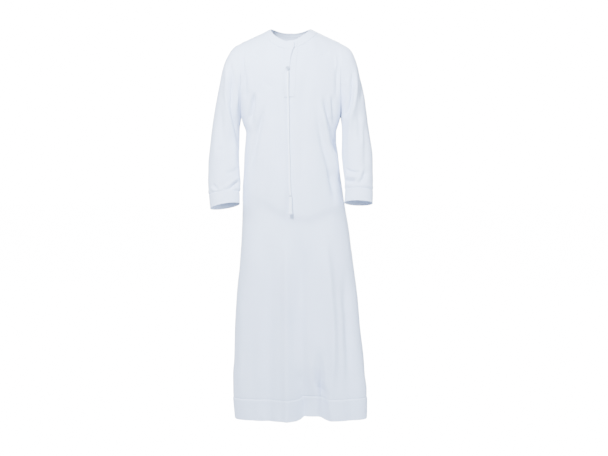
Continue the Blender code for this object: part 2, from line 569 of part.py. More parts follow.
def body(white):
    slit = (0.4835, 0.4885)
    front_s = columns_of(FRONT_COLUMNS, [slit])
    back_s = columns_of({"shoulder": BACK_COLUMNS["shoulder"], "neck": BACK_COLUMNS["neck"] // 2})
    grids, normals, columns = {}, {}, {}
    for side, s in (("front", front_s), ("back", back_s)):
        grids[side] = panel(side, s, LOWER_HEIGHTS, UPPER_ROWS)
        normals[side] = grid_normals(grids[side], np.array([0, -1 if side == "front" else 1, 0]))
        columns[side] = s
    low = len(LOWER_HEIGHTS)
    # Both panels share their normals along the side seams, and the sleeves' along the armholes.
    for j, x in ((0, -1), (-1, 1)):
        shared = normals["front"][:low, j] + normals["back"][:low, j]
        shared = np.where(np.linalg.norm(shared, axis=1, keepdims=True) < 1e-6, (x, 0, 0), shared)
        shared = shared * (1, 0, 1)
        shared /= np.linalg.norm(shared, axis=1, keepdims=True)
        shared *= np.sign(shared[:, :1]) * x
        for side in grids:
            normals[side][:low, j] = shared
            flat = in_plane_normals(armhole(side, UPPER_ROWS))
            normals[side][low:, j] = np.stack([np.zeros(UPPER_ROWS), flat[1:, 0], flat[1:, 1]], -1)
            normals[side][-1, j] = (0, 0, 1)
    # The neck band, one ring round the neckline.
    band_columns, band_q, cut = [], [], None
    inside = {side: np.where((s >= SHOULDER_SHARE - 1e-9) & (s <= 1 - SHOULDER_SHARE + 1e-9))[0]
              for side, s in columns.items()}
    for side in ("front", "back"):
        chosen = inside[side] if side == "front" else inside[side][-2:0:-1]
        for j in chosen:
            s = columns[side][j]
            q = (s - SHOULDER_SHARE) / (1 - 2 * SHOULDER_SHARE)
            band_columns.append((side, j))
            band_q.append(q)
            if side == "front" and abs(s - slit[0]) < 1e-6:
                cut = len(band_columns) - 1
    band_q = np.array(band_q)
    band_side = np.array([side for side, _ in band_columns])
    places = np.zeros((2, len(band_q), 2))
    for side in ("front", "back"):
        here = band_side == side
        places[0, here] = neck_places(side, band_q[here], BAND)
        places[1, here] = neck_places(side, band_q[here], NECK)
    rows = []
    for t in (0, 0.33, 0.66, 1):
        at = places[0] + (places[1] - places[0]) * t
        row = np.zeros((len(band_q), 3))
        for side in ("front", "back"):
            here = band_side == side
            row[here] = upper_surface(side, at[here, 0], at[here, 1])
        rows.append(row)
    outwards = rows[0] - rows[1]
    outwards /= np.linalg.norm(outwards, axis=1, keepdims=True)
    rows[0] = rows[0] - outwards * SEAM
    band = np.array(rows)
    band_normal = np.cross(np.roll(band, -1, 1) - np.roll(band, 1, 1), np.gradient(band, axis=0))
    band_normal /= np.linalg.norm(band_normal, axis=-1, keepdims=True)
    band_normal *= np.where(band_normal[..., 2:] < 0, -1, 1)
    # The shoulder seams and the seam along the band: same normals on both sides, then the gaps.
    near = np.array([BAND["front"]["half"], BAND["front"]["y"], BAND["front"]["z"]], float)
    tip = np.array([SIDE_X, SIDE_Y, TIP_Z], float)
    slope = np.cross(tip - near, (0, 1, 0))
    slope *= np.sign(slope[2]) / np.linalg.norm(slope)
    for side, s in columns.items():
        for j in range(1, len(s) - 1):
            if s[j] <= SHOULDER_SHARE + 1e-9 or s[j] >= 1 - SHOULDER_SHARE - 1e-9:
                normals[side][-1, j] = slope * (math.copysign(1, s[j] - 0.5), 1, 1)
    for n, (side, j) in enumerate(band_columns):
        s = columns[side][j]
        on_seam = abs(s - SHOULDER_SHARE) < 1e-9 or abs(s - 1 + SHOULDER_SHARE) < 1e-9
        for panel_side in (("front", "back") if on_seam else (side,)):
            k = j if panel_side == side else (inside["back"][0] if s < 0.5 else inside["back"][-1])
            normals[panel_side][-1, k] = band_normal[0, n]
            grids[panel_side][-1, k] += outwards[n] * SEAM
    for side, away in (("front", -1), ("back", 1)):
        s = columns[side]
        grids[side][:low, 0, 1] += away * SEAM
        grids[side][:low, -1, 1] += away * SEAM
        on_shoulder = (s <= SHOULDER_SHARE + 1e-9) | (s >= 1 - SHOULDER_SHARE - 1e-9)
        grids[side][-1, on_shoulder, 1] += away * SEAM
    heights = np.array(LOWER_HEIGHTS, float)
    walls = np.full(len(heights) + UPPER_ROWS, WALL)
    walls[:len(heights)][heights <= HEM_TOP_Z] = HEM_WALL
    for side in grids:
        inner = grids[side] - normals[side] * walls[:, None, None]
        gone = ()
        if side == "front":
            first = int(np.argmin(np.abs(columns[side] - slit[0])))
            gone = [(i, first) for i in range(len(grids[side]) - 1)
                    if grids[side][i, first, 2] > SLIT_END_Z - 8]
        shell(side + "_body", grids[side], inner, white, cut=gone)
    band_outer = band + band_normal * BAND_LIFT
    shell("neck_band", band_outer, band_outer - band_normal * BAND_WALL, white, closed=True,
          cut=[(i, cut) for i in range(3)])
    # The rolled edge runs from the under strip round the back to the over strip.
    middle = band[-1] + band_normal[-1] * (BAND_LIFT - BAND_WALL / 2) - outwards * (SEAM * 2 + 1.6)
    order = list(range(len(band_columns)))
    path = [middle[n] for n in order[cut + 1:] + order[:cut + 1]]
    path = [p for p in path if not (p[1] < -40 and -30 < p[0] < 29)]
    tube("neck_binding", path, 1.6, 6, white)
    return grids["front"], band_outer[:, : len(inside["front"])]


def sleeve(name, table, cuff_table, folds, white):
    """One sleeve and its cuff."""
    steps = np.arange(len(table))
    rings = sleeve_rings(table, steps, UPPER_ROWS)
    normal = ring_normals(rings)
    facing = np.clip(-normal[..., 1], 0, 1) ** 0.7
    fade = ease(steps, 0, 3) * (1 - ease(steps, len(table) - 3, len(table) - 1))
    height = fold_height(folds, rings[..., 0], rings[..., 2]) * facing * fade[:, None]
    rings = rings + normal * height[..., None]
    normal = ring_normals(rings)
    front = in_plane_normals(armhole("front", UPPER_ROWS))
    back = in_plane_normals(armhole("back", UPPER_ROWS))
    flat = np.concatenate([front, back[-2:0:-1]])
    flat[0], flat[UPPER_ROWS] = (0, -1), (0, 1)
    normal[0] = np.stack([np.zeros(len(flat)), flat[:, 0], flat[:, 1]], -1)
    cuff = sleeve_rings(cuff_table, np.linspace(0, len(cuff_table) - 1, 5), UPPER_ROWS)
    down = cuff[1] - cuff[0]
    down /= np.linalg.norm(down, axis=1, keepdims=True)
    cuff_normal = ring_normals(cuff)
    shared = normal[-1] + cuff_normal[0]
    shared /= np.linalg.norm(shared, axis=1, keepdims=True)
    normal[-1] = cuff_normal[0] = shared
    rings[-1] -= down * SEAM
    cuff[0] += down * SEAM
    shell("sleeve_" + name, rings, rings - normal * WALL, white, closed=True)
    cuff_outer = cuff + cuff_normal * BAND_LIFT
    shell("cuff_" + name, cuff_outer, cuff_outer - cuff_normal * BAND_WALL, white, closed=True)


def front_trim(front, band, white, trim):
    surface = surface_of([front, band])
    top = NECK["front"]["drop"] - 1.0
    _, under = strip(
        "placket_under", surface, UNDER_LEFT, UNDER_RIGHT, lambda x, z: STRIP_GAP, white, 4, top)
    knots = [-h for h in STRIP_HEIGHTS]

    def lift(x, z):
        edge = float(smooth(-z, knots, OVER_RIGHT))
        below = float(smooth(-z, knots, UNDER_LEFT))
        stack = (STRIP_WALL + STRIP_GAP) * float(ease(x, below - 15, below - 5))
        return STRIP_GAP + stack + float(smooth(-z, knots, OVER_OPEN)) * float(ease(x, edge - 18, edge))

    _, over = strip("placket_over", surface, OVER_LEFT, OVER_RIGHT, lift, white, 6, top)
    all_front = surface_of([front, band, under, over])
    x, z = BUTTON["x"], BUTTON["z"]
    rest = []
    for share in (0, 0.3, 0.6, 0.8, 0.95):
        for n in range(16):
            dx = share * BUTTON["radius"] * math.cos(n * math.pi / 8)
            dz = share * BUTTON["radius"] * math.sin(n * math.pi / 8)
            rest.append(front_y(all_front, x + dx, z + dz) - BUTTON["flat"] * math.sqrt(1 - share**2))
    y = min(rest) - 0.3
    points, faces = [], []
    rings, sides = 7, 12
    for i in range(1, rings):
        turn = math.pi * i / rings
        for n in range(sides):
            round_ = 2 * math.pi * n / sides
            points.append((x + BUTTON["radius"] * math.sin(turn) * math.cos(round_),
                           y - BUTTON["flat"] * math.cos(turn),
                           z + BUTTON["radius"] * math.sin(turn) * math.sin(round_)))
    points += [(x, y - BUTTON["flat"], z), (x, y + BUTTON["flat"], z)]
    for n in range(sides):
        m = (n + 1) % sides
        faces.append((len(points) - 2, n, m))
        faces.append((len(points) - 1, (rings - 2) * sides + m, (rings - 2) * sides + n))
        for i in range(rings - 2):
            faces.append((i * sides + n, i * sides + m, (i + 1) * sides + m, (i + 1) * sides + n))
    make("neck_button", points, faces, trim, 0.6)
    loop = []
    for n in range(20):
        turn = 2 * math.pi * n / 20
        px = x + BUTTON["loop"] * math.cos(turn)
        pz = z + BUTTON["loop"] * math.sin(turn)
        near = min(front_y(all_front, px + d, pz + e) for d in (-1.5, 0, 1.5) for e in (-1.5, 1.5))
        loop.append((px, near - BUTTON["loop_radius"] - 0.4, pz))
    tube("button_loop", loop, BUTTON["loop_radius"], 6, trim, closed=True)


def tassel_cord(trim):
    """The cord's tube, on a smooth curve through its route."""
    route = np.array(CORD_ROUTE, float)
    walked = np.concatenate([[0], np.cumsum(np.linalg.norm(np.diff(route, axis=0), axis=1))])
    at = np.linspace(0, walked[-1], CORD_POINTS)
    tube("tassel_cord", np.stack([smooth(at, walked, route[:, k]) for k in range(3)], -1),
         CORD_RADIUS, 8, trim)


def tassel(end, trim):
    """Head and strands, joined into one body."""
    x, y, top = TASSEL["x"], end[1] - 2.6, TASSEL["top"]
    head, radius = TASSEL["head"], TASSEL["head_radius"]
    profile = ((0, 2.6), (-2, 4.6), (-5, 5.4), (-8, 5.0), (-10, 4.4), (-head, 5.4))
    sides = 14
    points, faces = [], []
    for drop, r in profile:
        for n in range(sides):
            turn = 2 * math.pi * n / sides
            points.append((x + r * radius / 5.2 * math.cos(turn), y + 0.85 * r * math.sin(turn), top + drop))
    for i in range(len(profile) - 1):
        for n in range(sides):
            m = (n + 1) % sides
            faces.append((i * sides + n, i * sides + m, (i + 1) * sides + m, (i + 1) * sides + n))
    faces.append(tuple(range(sides))[::-1])
    faces.append(tuple((len(profile) - 1) * sides + n for n in range(sides)))
    piece = make("tassel", points, faces, trim, 0.7)
    strands = []
    rng = np.random.default_rng(7)
    for count, start, finish in ((13, 4.3, 1.0), (7, 2.35, 0.58), (1, 0.0, 0.0)):
        for n in range(count):
            turn = 2 * math.pi * (n + 0.3 * (count == 7)) / count
            length = TASSEL["length"] - TASSEL["head"] - rng.uniform(0, 3.5)
            away = np.array([math.cos(turn), 0.8 * math.sin(turn), 0])
            root = np.array([x, y, top - head + 2.5]) + away * start
            tip = np.array([x, y, top - head - length]) + away * finish * TASSEL["radius"]
            middle = (root + tip) / 2 + away * 0.5
            strands.append((root, middle, tip))
    solids = []
    for k, line in enumerate(strands):
        solid = tube(f"strand_{k}", line, 0.78, 4, trim)
        solids.append(solid)
    shape = bmesh.new()
    for solid in solids:
        shape.from_mesh(solid.data)
        bpy.data.objects.remove(solid)
    joined = bpy.data.meshes.new("strands")
    shape.to_mesh(joined)
    shape.free()
    helper = bpy.data.objects.new("strands", joined)
    bpy.context.scene.collection.objects.link(helper)
    union = piece.modifiers.new("union", "BOOLEAN")
    union.operation, union.solver, union.object = "UNION", "EXACT", helper
    whole = bpy.data.meshes.new_from_object(piece.evaluated_get(bpy.context.evaluated_depsgraph_get()))
    piece.modifiers.clear()
    material = piece.data.materials[0]
    piece.data = whole
    whole.materials.clear()
    whole.materials.append(material)
    bpy.data.objects.remove(helper)


def main():
    for existing in list(bpy.data.objects):
        bpy.data.objects.remove(existing)
    white = (0.80, 0.82, 0.86)
    trim = (0.84, 0.85, 0.88)
    front, band = body(white)
    sleeve("right", SLEEVE_RIGHT, CUFF_RIGHT, SLEEVE_FOLDS_RIGHT, white)
    sleeve("left", SLEEVE_LEFT, CUFF_LEFT, SLEEVE_FOLDS_LEFT, white)
    front_trim(front, band, white, trim)
    tassel_cord(trim)
    tassel(CORD_ROUTE[-1], trim)


main()
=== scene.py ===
import math

import bmesh
import bpy
import numpy as np
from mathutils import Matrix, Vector, noise
from mathutils.bvhtree import BVHTree


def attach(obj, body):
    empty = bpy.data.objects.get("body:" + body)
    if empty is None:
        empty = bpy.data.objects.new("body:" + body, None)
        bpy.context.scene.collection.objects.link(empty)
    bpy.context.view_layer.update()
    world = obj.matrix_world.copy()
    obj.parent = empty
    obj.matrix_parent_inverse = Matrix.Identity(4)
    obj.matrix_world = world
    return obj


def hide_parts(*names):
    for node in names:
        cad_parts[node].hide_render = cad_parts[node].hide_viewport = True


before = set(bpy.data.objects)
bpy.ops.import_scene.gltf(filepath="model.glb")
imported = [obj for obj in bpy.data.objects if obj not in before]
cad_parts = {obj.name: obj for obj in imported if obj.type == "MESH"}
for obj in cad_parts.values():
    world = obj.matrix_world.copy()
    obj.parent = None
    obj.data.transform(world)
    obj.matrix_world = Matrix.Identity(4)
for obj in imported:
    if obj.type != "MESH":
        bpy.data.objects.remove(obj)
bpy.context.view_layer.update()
mm = 0.001  # every length below is in millimetres until it becomes a mesh


# Camera

cameraPlace = {
    "x": 48, "y": -5000, "z": -425,       # it stands about a metre over the floor
    "aimX": 48, "aimZ": -726.5, "lens": 80.4,
}


def makeCamera():
    data = bpy.data.cameras.new("camera")
    data.lens = cameraPlace["lens"]
    data.sensor_width = 36
    data.clip_end = 60
    camera = bpy.data.objects.new("camera", data)
    bpy.context.scene.collection.objects.link(camera)
    camera.location = [cameraPlace[k] * mm for k in "xyz"]
    aim = Vector((cameraPlace["aimX"] * mm, 0, cameraPlace["aimZ"] * mm))
    camera.rotation_euler = (aim - camera.location).to_track_quat("-Z", "Y").to_euler()
    bpy.context.scene.camera = camera


makeCamera()
print("camera placed")


# Materials

clothLook = {
    "light": (0.695, 0.76, 0.90), "dark": (0.66, 0.73, 0.88),
    "roughness": 0.82, "sheen": 0.2, "thread": 0.00055, "bump": 0.25,
}
threadLook = {
    "light": (0.86, 0.91, 1.0), "dark": (0.82, 0.875, 0.98),
    "roughness": 0.55, "sheen": 0.15, "thread": 0.0009, "bump": 0.3,
}
windingAndShadeLook = {  # grey thread for the tassel's whipping, the knot button, its loop and the bar tack; darker than the cloth partly as the thread's own grey and partly as painted shade for the shadows at the knot, loop and tassel head
    "light": (0.46, 0.51, 0.60), "dark": (0.38, 0.43, 0.52),
    "roughness": 0.5, "sheen": 0.1, "thread": 0.0009, "bump": 0.3,
}


def addNode(tree, kind, inputs=(), **settings):
    # a node with its settings; an input is a value, or an output to link
    node = tree.nodes.new(kind)
    for key, value in settings.items():
        setattr(node, key, value)
    for key, value in dict(inputs).items():
        if isinstance(value, bpy.types.NodeSocket):
            tree.links.new(value, node.inputs[key])
        else:
            node.inputs[key].default_value = value
    return node


def makeMaterial(name, look, byUv=True):
    material = bpy.data.materials.new(name)
    material.use_nodes = True
    tree = material.node_tree
    place = addNode(tree, "ShaderNodeTexCoord")
    source = place.outputs["UV"] if byUv else place.outputs["Object"]
    threads = []
    for direction in ("X", "Y"):
        wave = addNode(tree, "ShaderNodeTexWave", {
            "Scale": 0.314 / look["thread"], "Distortion": 0.6, "Detail": 1.0, "Detail Scale": 0.4,
            "Vector": source}, wave_type="BANDS", bands_direction=direction)
        threads.append(wave.outputs["Fac"])
    weave = addNode(tree, "ShaderNodeMath", {0: threads[0], 1: threads[1]}, operation="MAXIMUM")
    slub = addNode(tree, "ShaderNodeTexNoise", {"Scale": 260, "Detail": 3, "Vector": source})
    mixed = addNode(tree, "ShaderNodeMath", {
        0: slub.outputs["Fac"], 1: 0.7, 2: weave.outputs[0]}, operation="MULTIPLY_ADD")
    bump = addNode(tree, "ShaderNodeBump", {
        "Strength": look["bump"], "Distance": 0.00012, "Height": mixed.outputs[0]})
    cloud = addNode(tree, "ShaderNodeTexNoise", {
        "Scale": 9, "Detail": 4, "Vector": place.outputs["Object"]})
    tone = addNode(tree, "ShaderNodeValToRGB", {"Fac": cloud.outputs["Fac"]})
    for element, position, shade in zip(tone.color_ramp.elements, (0.3, 0.7), ("dark", "light")):
        element.position = position
        element.color = (*look[shade], 1)
    shader = tree.nodes["Principled BSDF"]
    shader.inputs["Roughness"].default_value = look["roughness"]
    shader.inputs["Sheen Weight"].default_value = look["sheen"]
    shader.inputs["Sheen Roughness"].default_value = 0.45
    shader.inputs["Specular IOR Level"].default_value = 0.28
    tree.links.new(bump.outputs["Normal"], shader.inputs["Normal"])
    tree.links.new(tone.outputs["Color"], shader.inputs["Base Color"])
    return material


whiteCloth = makeMaterial("whiteCloth", clothLook)
whiteThread = makeMaterial("whiteThread", threadLook, byUv=False)
# this grey thread also carries painted shade around the knot, loop and tassel head
greyThreadAndShade = makeMaterial("greyThreadAndShade", windingAndShadeLook, byUv=False)
print("materials made")


# Small tools for shapes

def smooth(at, knots, values):
    # a curve through the values that never swings past them
    at = np.asarray(at, float)
    knots, values = np.asarray(knots, float), np.asarray(values, float)
    step = np.diff(knots)
    rise = np.diff(values) / step
    slope = np.zeros(len(knots))
    slope[0], slope[-1] = rise[0], rise[-1]
    for i in range(1, len(knots) - 1):
        if rise[i - 1] * rise[i] > 0:
            a, b = 2 * step[i] + step[i - 1], step[i] + 2 * step[i - 1]
            slope[i] = (a + b) / (a / rise[i - 1] + b / rise[i])
    i = np.clip(np.searchsorted(knots, at) - 1, 0, len(step) - 1)
    t = np.clip((at - knots[i]) / step[i], 0, 1)
    return (
        values[i] * (2 * t**3 - 3 * t**2 + 1)
        + values[i + 1] * (3 * t**2 - 2 * t**3)
        + step[i] * (slope[i] * (t**3 - 2 * t**2 + t) + slope[i + 1] * (t**3 - t**2))
    )


def ease(value, low, high):
    t = np.clip((np.asarray(value, float) - low) / (high - low), 0, 1)
    return t * t * (3 - 2 * t)


def even(points, count):
    walked = np.concatenate([[0], np.cumsum(np.linalg.norm(np.diff(points, axis=0), axis=1))])
    at = np.linspace(0, walked[-1], count + 1)
    return np.stack([np.interp(at, walked, points[:, k]) for k in range(points.shape[1])], -1)


def softFold(width, height, *path, runsOut=False, lean=0):
    # a fold along x, z points of the front view; runsOut keeps its lower end at full height,
    # lean makes one of its sides steeper
    return {"path": path, "width": width, "height": height, "runsOut": runsOut, "lean": lean}


def foldHeight(folds, x, z):
    # height of all the folds at points of the front view
    total = np.zeros(np.shape(x))
    for fold in folds:
        path = np.array(fold["path"], float)
        lengths = np.linalg.norm(np.diff(path, axis=0), axis=1)
        nearest = np.full(np.shape(x), 1e9)
        sideways = np.zeros(np.shape(x))
        along = np.zeros(np.shape(x))
        start = 0.0
        for a, b, length in zip(path[:-1], path[1:], lengths):
            run, drop = b - a
            t = np.clip(((x - a[0]) * run + (z - a[1]) * drop) / length**2, 0, 1)
            dx, dz = x - a[0] - t * run, z - a[1] - t * drop
            distance = np.hypot(dx, dz)
            closer = distance < nearest
            nearest = np.where(closer, distance, nearest)
            sideways = np.where(closer, (dz * run - dx * drop) / length, sideways)
            along = np.where(closer, (start + t * length) / lengths.sum(), along)
            start += length
        width = fold["width"]
        fade = ease(along, 0, 0.3) * (1 if fold["runsOut"] else ease(1 - along, 0, 0.3))
        lean = 1 + fold["lean"] * np.tanh(sideways / width)
        total += fold["height"] * fade * np.exp(-((nearest / (width * lean)) ** 2))
    return total


def gridNormals(grid, outward):
    normal = np.cross(np.gradient(grid, axis=1), np.gradient(grid, axis=0))
    normal /= np.maximum(np.linalg.norm(normal, axis=-1, keepdims=True), 1e-9)
    return normal * np.where(np.sum(normal * outward, -1, keepdims=True) < 0, -1, 1)


def ringNormals(rings):
    across = np.roll(rings, -1, 1) - np.roll(rings, 1, 1)
    normal = np.cross(across, np.gradient(rings, axis=0))
    normal /= np.maximum(np.linalg.norm(normal, axis=-1, keepdims=True), 1e-9)
    away = rings - rings.mean(1, keepdims=True)
    return normal * np.where(np.sum(normal * away, -1, keepdims=True) < 0, -1, 1)


def softNoise(points, sizes, depth, seed):
    # the small unevenness of worn cloth, stretched along the hang
    flat = points.reshape(-1, 3)
    values = []
    for x, y, z in flat:
        values.append(noise.noise(Vector((x / sizes[0] + seed, y / sizes[1], z / sizes[2] - seed))))
    return depth * np.array(values).reshape(points.shape[:-1])


def walkedAcross(grid):
    across = np.linalg.norm(np.diff(grid, axis=1), axis=-1)
    return np.concatenate([np.zeros((len(grid), 1)), np.cumsum(across, 1)], 1)


def walkedAlong(grid):
    along = np.linalg.norm(np.diff(grid, axis=0), axis=-1)
    return np.concatenate([np.zeros((1, grid.shape[1])), np.cumsum(along, 0)], 0)


def clothLengths(grid, closed):
    # distances in the cloth, for the weave's own coordinates
    wrapped = np.concatenate([grid, grid[:, :1]], 1) if closed else grid
    u = walkedAcross(wrapped)
    return u - u[:, -1:] / 2, walkedAlong(wrapped)


def finishPiece(name, mesh, material):
    mesh.materials.append(material)
    mesh.shade_smooth()
    mesh.set_sharp_from_angle(angle=math.radians(62))
    piece = bpy.data.objects.new(name, mesh)
    bpy.context.scene.collection.objects.link(piece)
    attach(piece, "root")
    return piece


def clothPiece(name, outer, inner, material, closed=False, cut=()):
    # a thin closed wall between two grids of points; cells named in cut stay open
    rows, columns = outer.shape[:2]
    layer = rows * columns
    u, v = clothLengths(outer, closed)
    width = columns if closed else columns - 1
    cells = {(i, j) for i in range(rows - 1) for j in range(width)} - set(cut)
    faces, corners = [], []
    for i, j in sorted(cells):
        ring = (i * columns + j, i * columns + (j + 1) % columns,
                (i + 1) * columns + (j + 1) % columns, (i + 1) * columns + j)
        marks = ((i, j), (i, j + 1), (i + 1, j + 1), (i + 1, j))
        faces.append(ring)
        corners.extend(marks)
        faces.append(tuple(layer + k for k in reversed(ring)))
        corners.extend(reversed(marks))
        for ni, nj, a, b in ((i - 1, j, 0, 1), (i, j + 1, 1, 2), (i + 1, j, 2, 3), (i, j - 1, 3, 0)):
            if (ni, nj % columns if closed else nj) not in cells:
                faces.append((ring[b], ring[a], layer + ring[a], layer + ring[b]))
                corners.extend((marks[b], marks[a], marks[a], marks[b]))
    points = np.concatenate([outer.reshape(-1, 3), inner.reshape(-1, 3)]) * mm
    mesh = bpy.data.meshes.new(name)
    mesh.from_pydata(points.tolist(), [], faces)
    at = np.array(corners)
    chart = mesh.uv_layers.new(name="cloth")
    chart.data.foreach_set("uv", (np.stack([u[at[:, 0], at[:, 1]], v[at[:, 0], at[:, 1]]], -1) * mm).ravel())
    shape = bmesh.new()
    shape.from_mesh(mesh)
    bmesh.ops.delete(shape, geom=[p for p in shape.verts if not p.link_faces], context="VERTS")
    bmesh.ops.recalc_face_normals(shape, faces=shape.faces)
    if shape.calc_volume(signed=True) < 0:
        bmesh.ops.reverse_faces(shape, faces=shape.faces)
    shape.to_mesh(mesh)
    shape.free()
    return finishPiece(name, mesh, material)


def tubeMesh(path, radius, sides, closed=False, profile=None):
    # points and faces of a round cord along the path
    path = np.array(path, float)
    count = len(path)
    ahead = np.roll(path, -1, 0) - np.roll(path, 1, 0)
    if not closed:
        ahead[0], ahead[-1] = path[1] - path[0], path[-1] - path[-2]
    ahead /= np.linalg.norm(ahead, axis=1, keepdims=True)
    side = np.cross(ahead[0], (0.1, 1, 0.13))
    points, faces = [], []
    for k in range(count):
        side = side - ahead[k] * side.dot(ahead[k])
        side /= np.linalg.norm(side)
        other = np.cross(ahead[k], side)
        thick = radius if profile is None else radius * profile[k]
        for n in range(sides):
            turn = 2 * math.pi * n / sides
            points.append(path[k] + thick * (math.cos(turn) * side + math.sin(turn) * other))
    for k in range(count if closed else count - 1):
        for n in range(sides):
            a, b = k * sides, (k + 1) % count * sides
            faces.append((a + n, a + (n + 1) % sides, b + (n + 1) % sides, b + n))
    if not closed:
        faces.append(tuple(range(sides))[::-1])
        faces.append(tuple((count - 1) * sides + n for n in range(sides)))
    return points, faces


def joinedPiece(name, parts, material):
    points, faces = [], []
    for partPoints, partFaces in parts:
        first = len(points)
        points.extend(partPoints)
        faces.extend(tuple(first + k for k in face) for face in partFaces)
    mesh = bpy.data.meshes.new(name)
    mesh.from_pydata([(np.array(p) * mm).tolist() for p in points], [], faces)
    shape = bmesh.new()
    shape.from_mesh(mesh)
    bmesh.ops.recalc_face_normals(shape, faces=shape.faces)
    shape.to_mesh(mesh)
    shape.free()
    return finishPiece(name, mesh, material)


# Tassel cord and brush: they come first

cordShape = {
    "route": (  # x, y, z down the front, the same as in the solids
        (-9.8, -118.6, -157.0), (-9.9, -120.4, -191.1), (-9.7, -121.3, -225.3), (-8.9, -120.4, -259.4),
        (-8.0, -119.0, -293.5), (-7.6, -120.1, -327.6), (-7.4, -121.2, -361.7), (-7.1, -122.4, -395.8),
        (-6.4, -123.9, -429.9), (-5.4, -125.5, -464.1), (-4.6, -126.7, -498.2), (-3.9, -127.5, -532.3),
        (-3.0, -127.9, -566.4), (-0.9, -127.9, -600.3),
    ),
    "length": 444, "diameter": 7.4, "plies": 5, "plyRadius": 1.5, "plyOffset": 2.15, "pitch": 26,
}
tasselShape = {
    "x": -0.6, "y": -130.5, "top": -600.9, "head": 7, "strands": 240,
    "strandRadius": 0.5, "length": 64, "splay": 0.035, "rootRadius": 4.4, "seed": 4,
}


def makeCord():
    shape = cordShape
    route = np.array(shape["route"], float)
    walked = np.concatenate([[0], np.cumsum(np.linalg.norm(np.diff(route, axis=0), axis=1))])
    count = int(walked[-1] / shape["pitch"] * 12)
    at = np.linspace(0, walked[-1], count)
    centre = np.stack([smooth(at, walked, route[:, k]) for k in range(3)], -1)
    parts = []
    for ply in range(shape["plies"]):
        turn = 2 * math.pi * (at / shape["pitch"] + ply / shape["plies"])
        offset = np.stack([np.cos(turn), np.sin(turn), 0 * turn], -1) * shape["plyOffset"]
        parts.append(tubeMesh(centre + offset, shape["plyRadius"], 7))
    piece = joinedPiece("tasselCord", parts, whiteThread)
    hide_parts("tassel_cord")
    return piece, centre


def treeWith(name, inputs):
    # an empty Geometry Nodes tree with a geometry in and out and its named inputs
    tree = bpy.data.node_groups.new(name, "GeometryNodeTree")
    tree.interface.new_socket("Geometry", in_out="INPUT", socket_type="NodeSocketGeometry")
    tree.interface.new_socket("Geometry", in_out="OUTPUT", socket_type="NodeSocketGeometry")
    for label, kind, value in inputs:
        socket = tree.interface.new_socket(label, in_out="INPUT", socket_type=kind)
        if value is not None:
            socket.default_value = value
    return tree, tree.nodes.new("NodeGroupInput"), tree.nodes.new("NodeGroupOutput")


def treeMath(tree, operation, *values):
    return addNode(tree, "ShaderNodeMath", enumerate(values), operation=operation).outputs[0]


def plainFromTree(name, base, tree, values, material):
    # runs the tree on the base object and keeps the result as a plain mesh
    modifier = base.modifiers.new("nodes", "NODES")
    modifier.node_group = tree
    ids = {item.name: item.identifier for item in tree.interface.items_tree if item.in_out == "INPUT"}
    for label, value in values.items():
        modifier[ids[label]] = value
    graph = bpy.context.evaluated_depsgraph_get()
    mesh = bpy.data.meshes.new_from_object(base.evaluated_get(graph))
    base.modifiers.clear()
    mesh.name = name
    mesh.materials.clear()
    piece = finishPiece(name, mesh, material)
    bpy.data.objects.remove(base)
    return piece


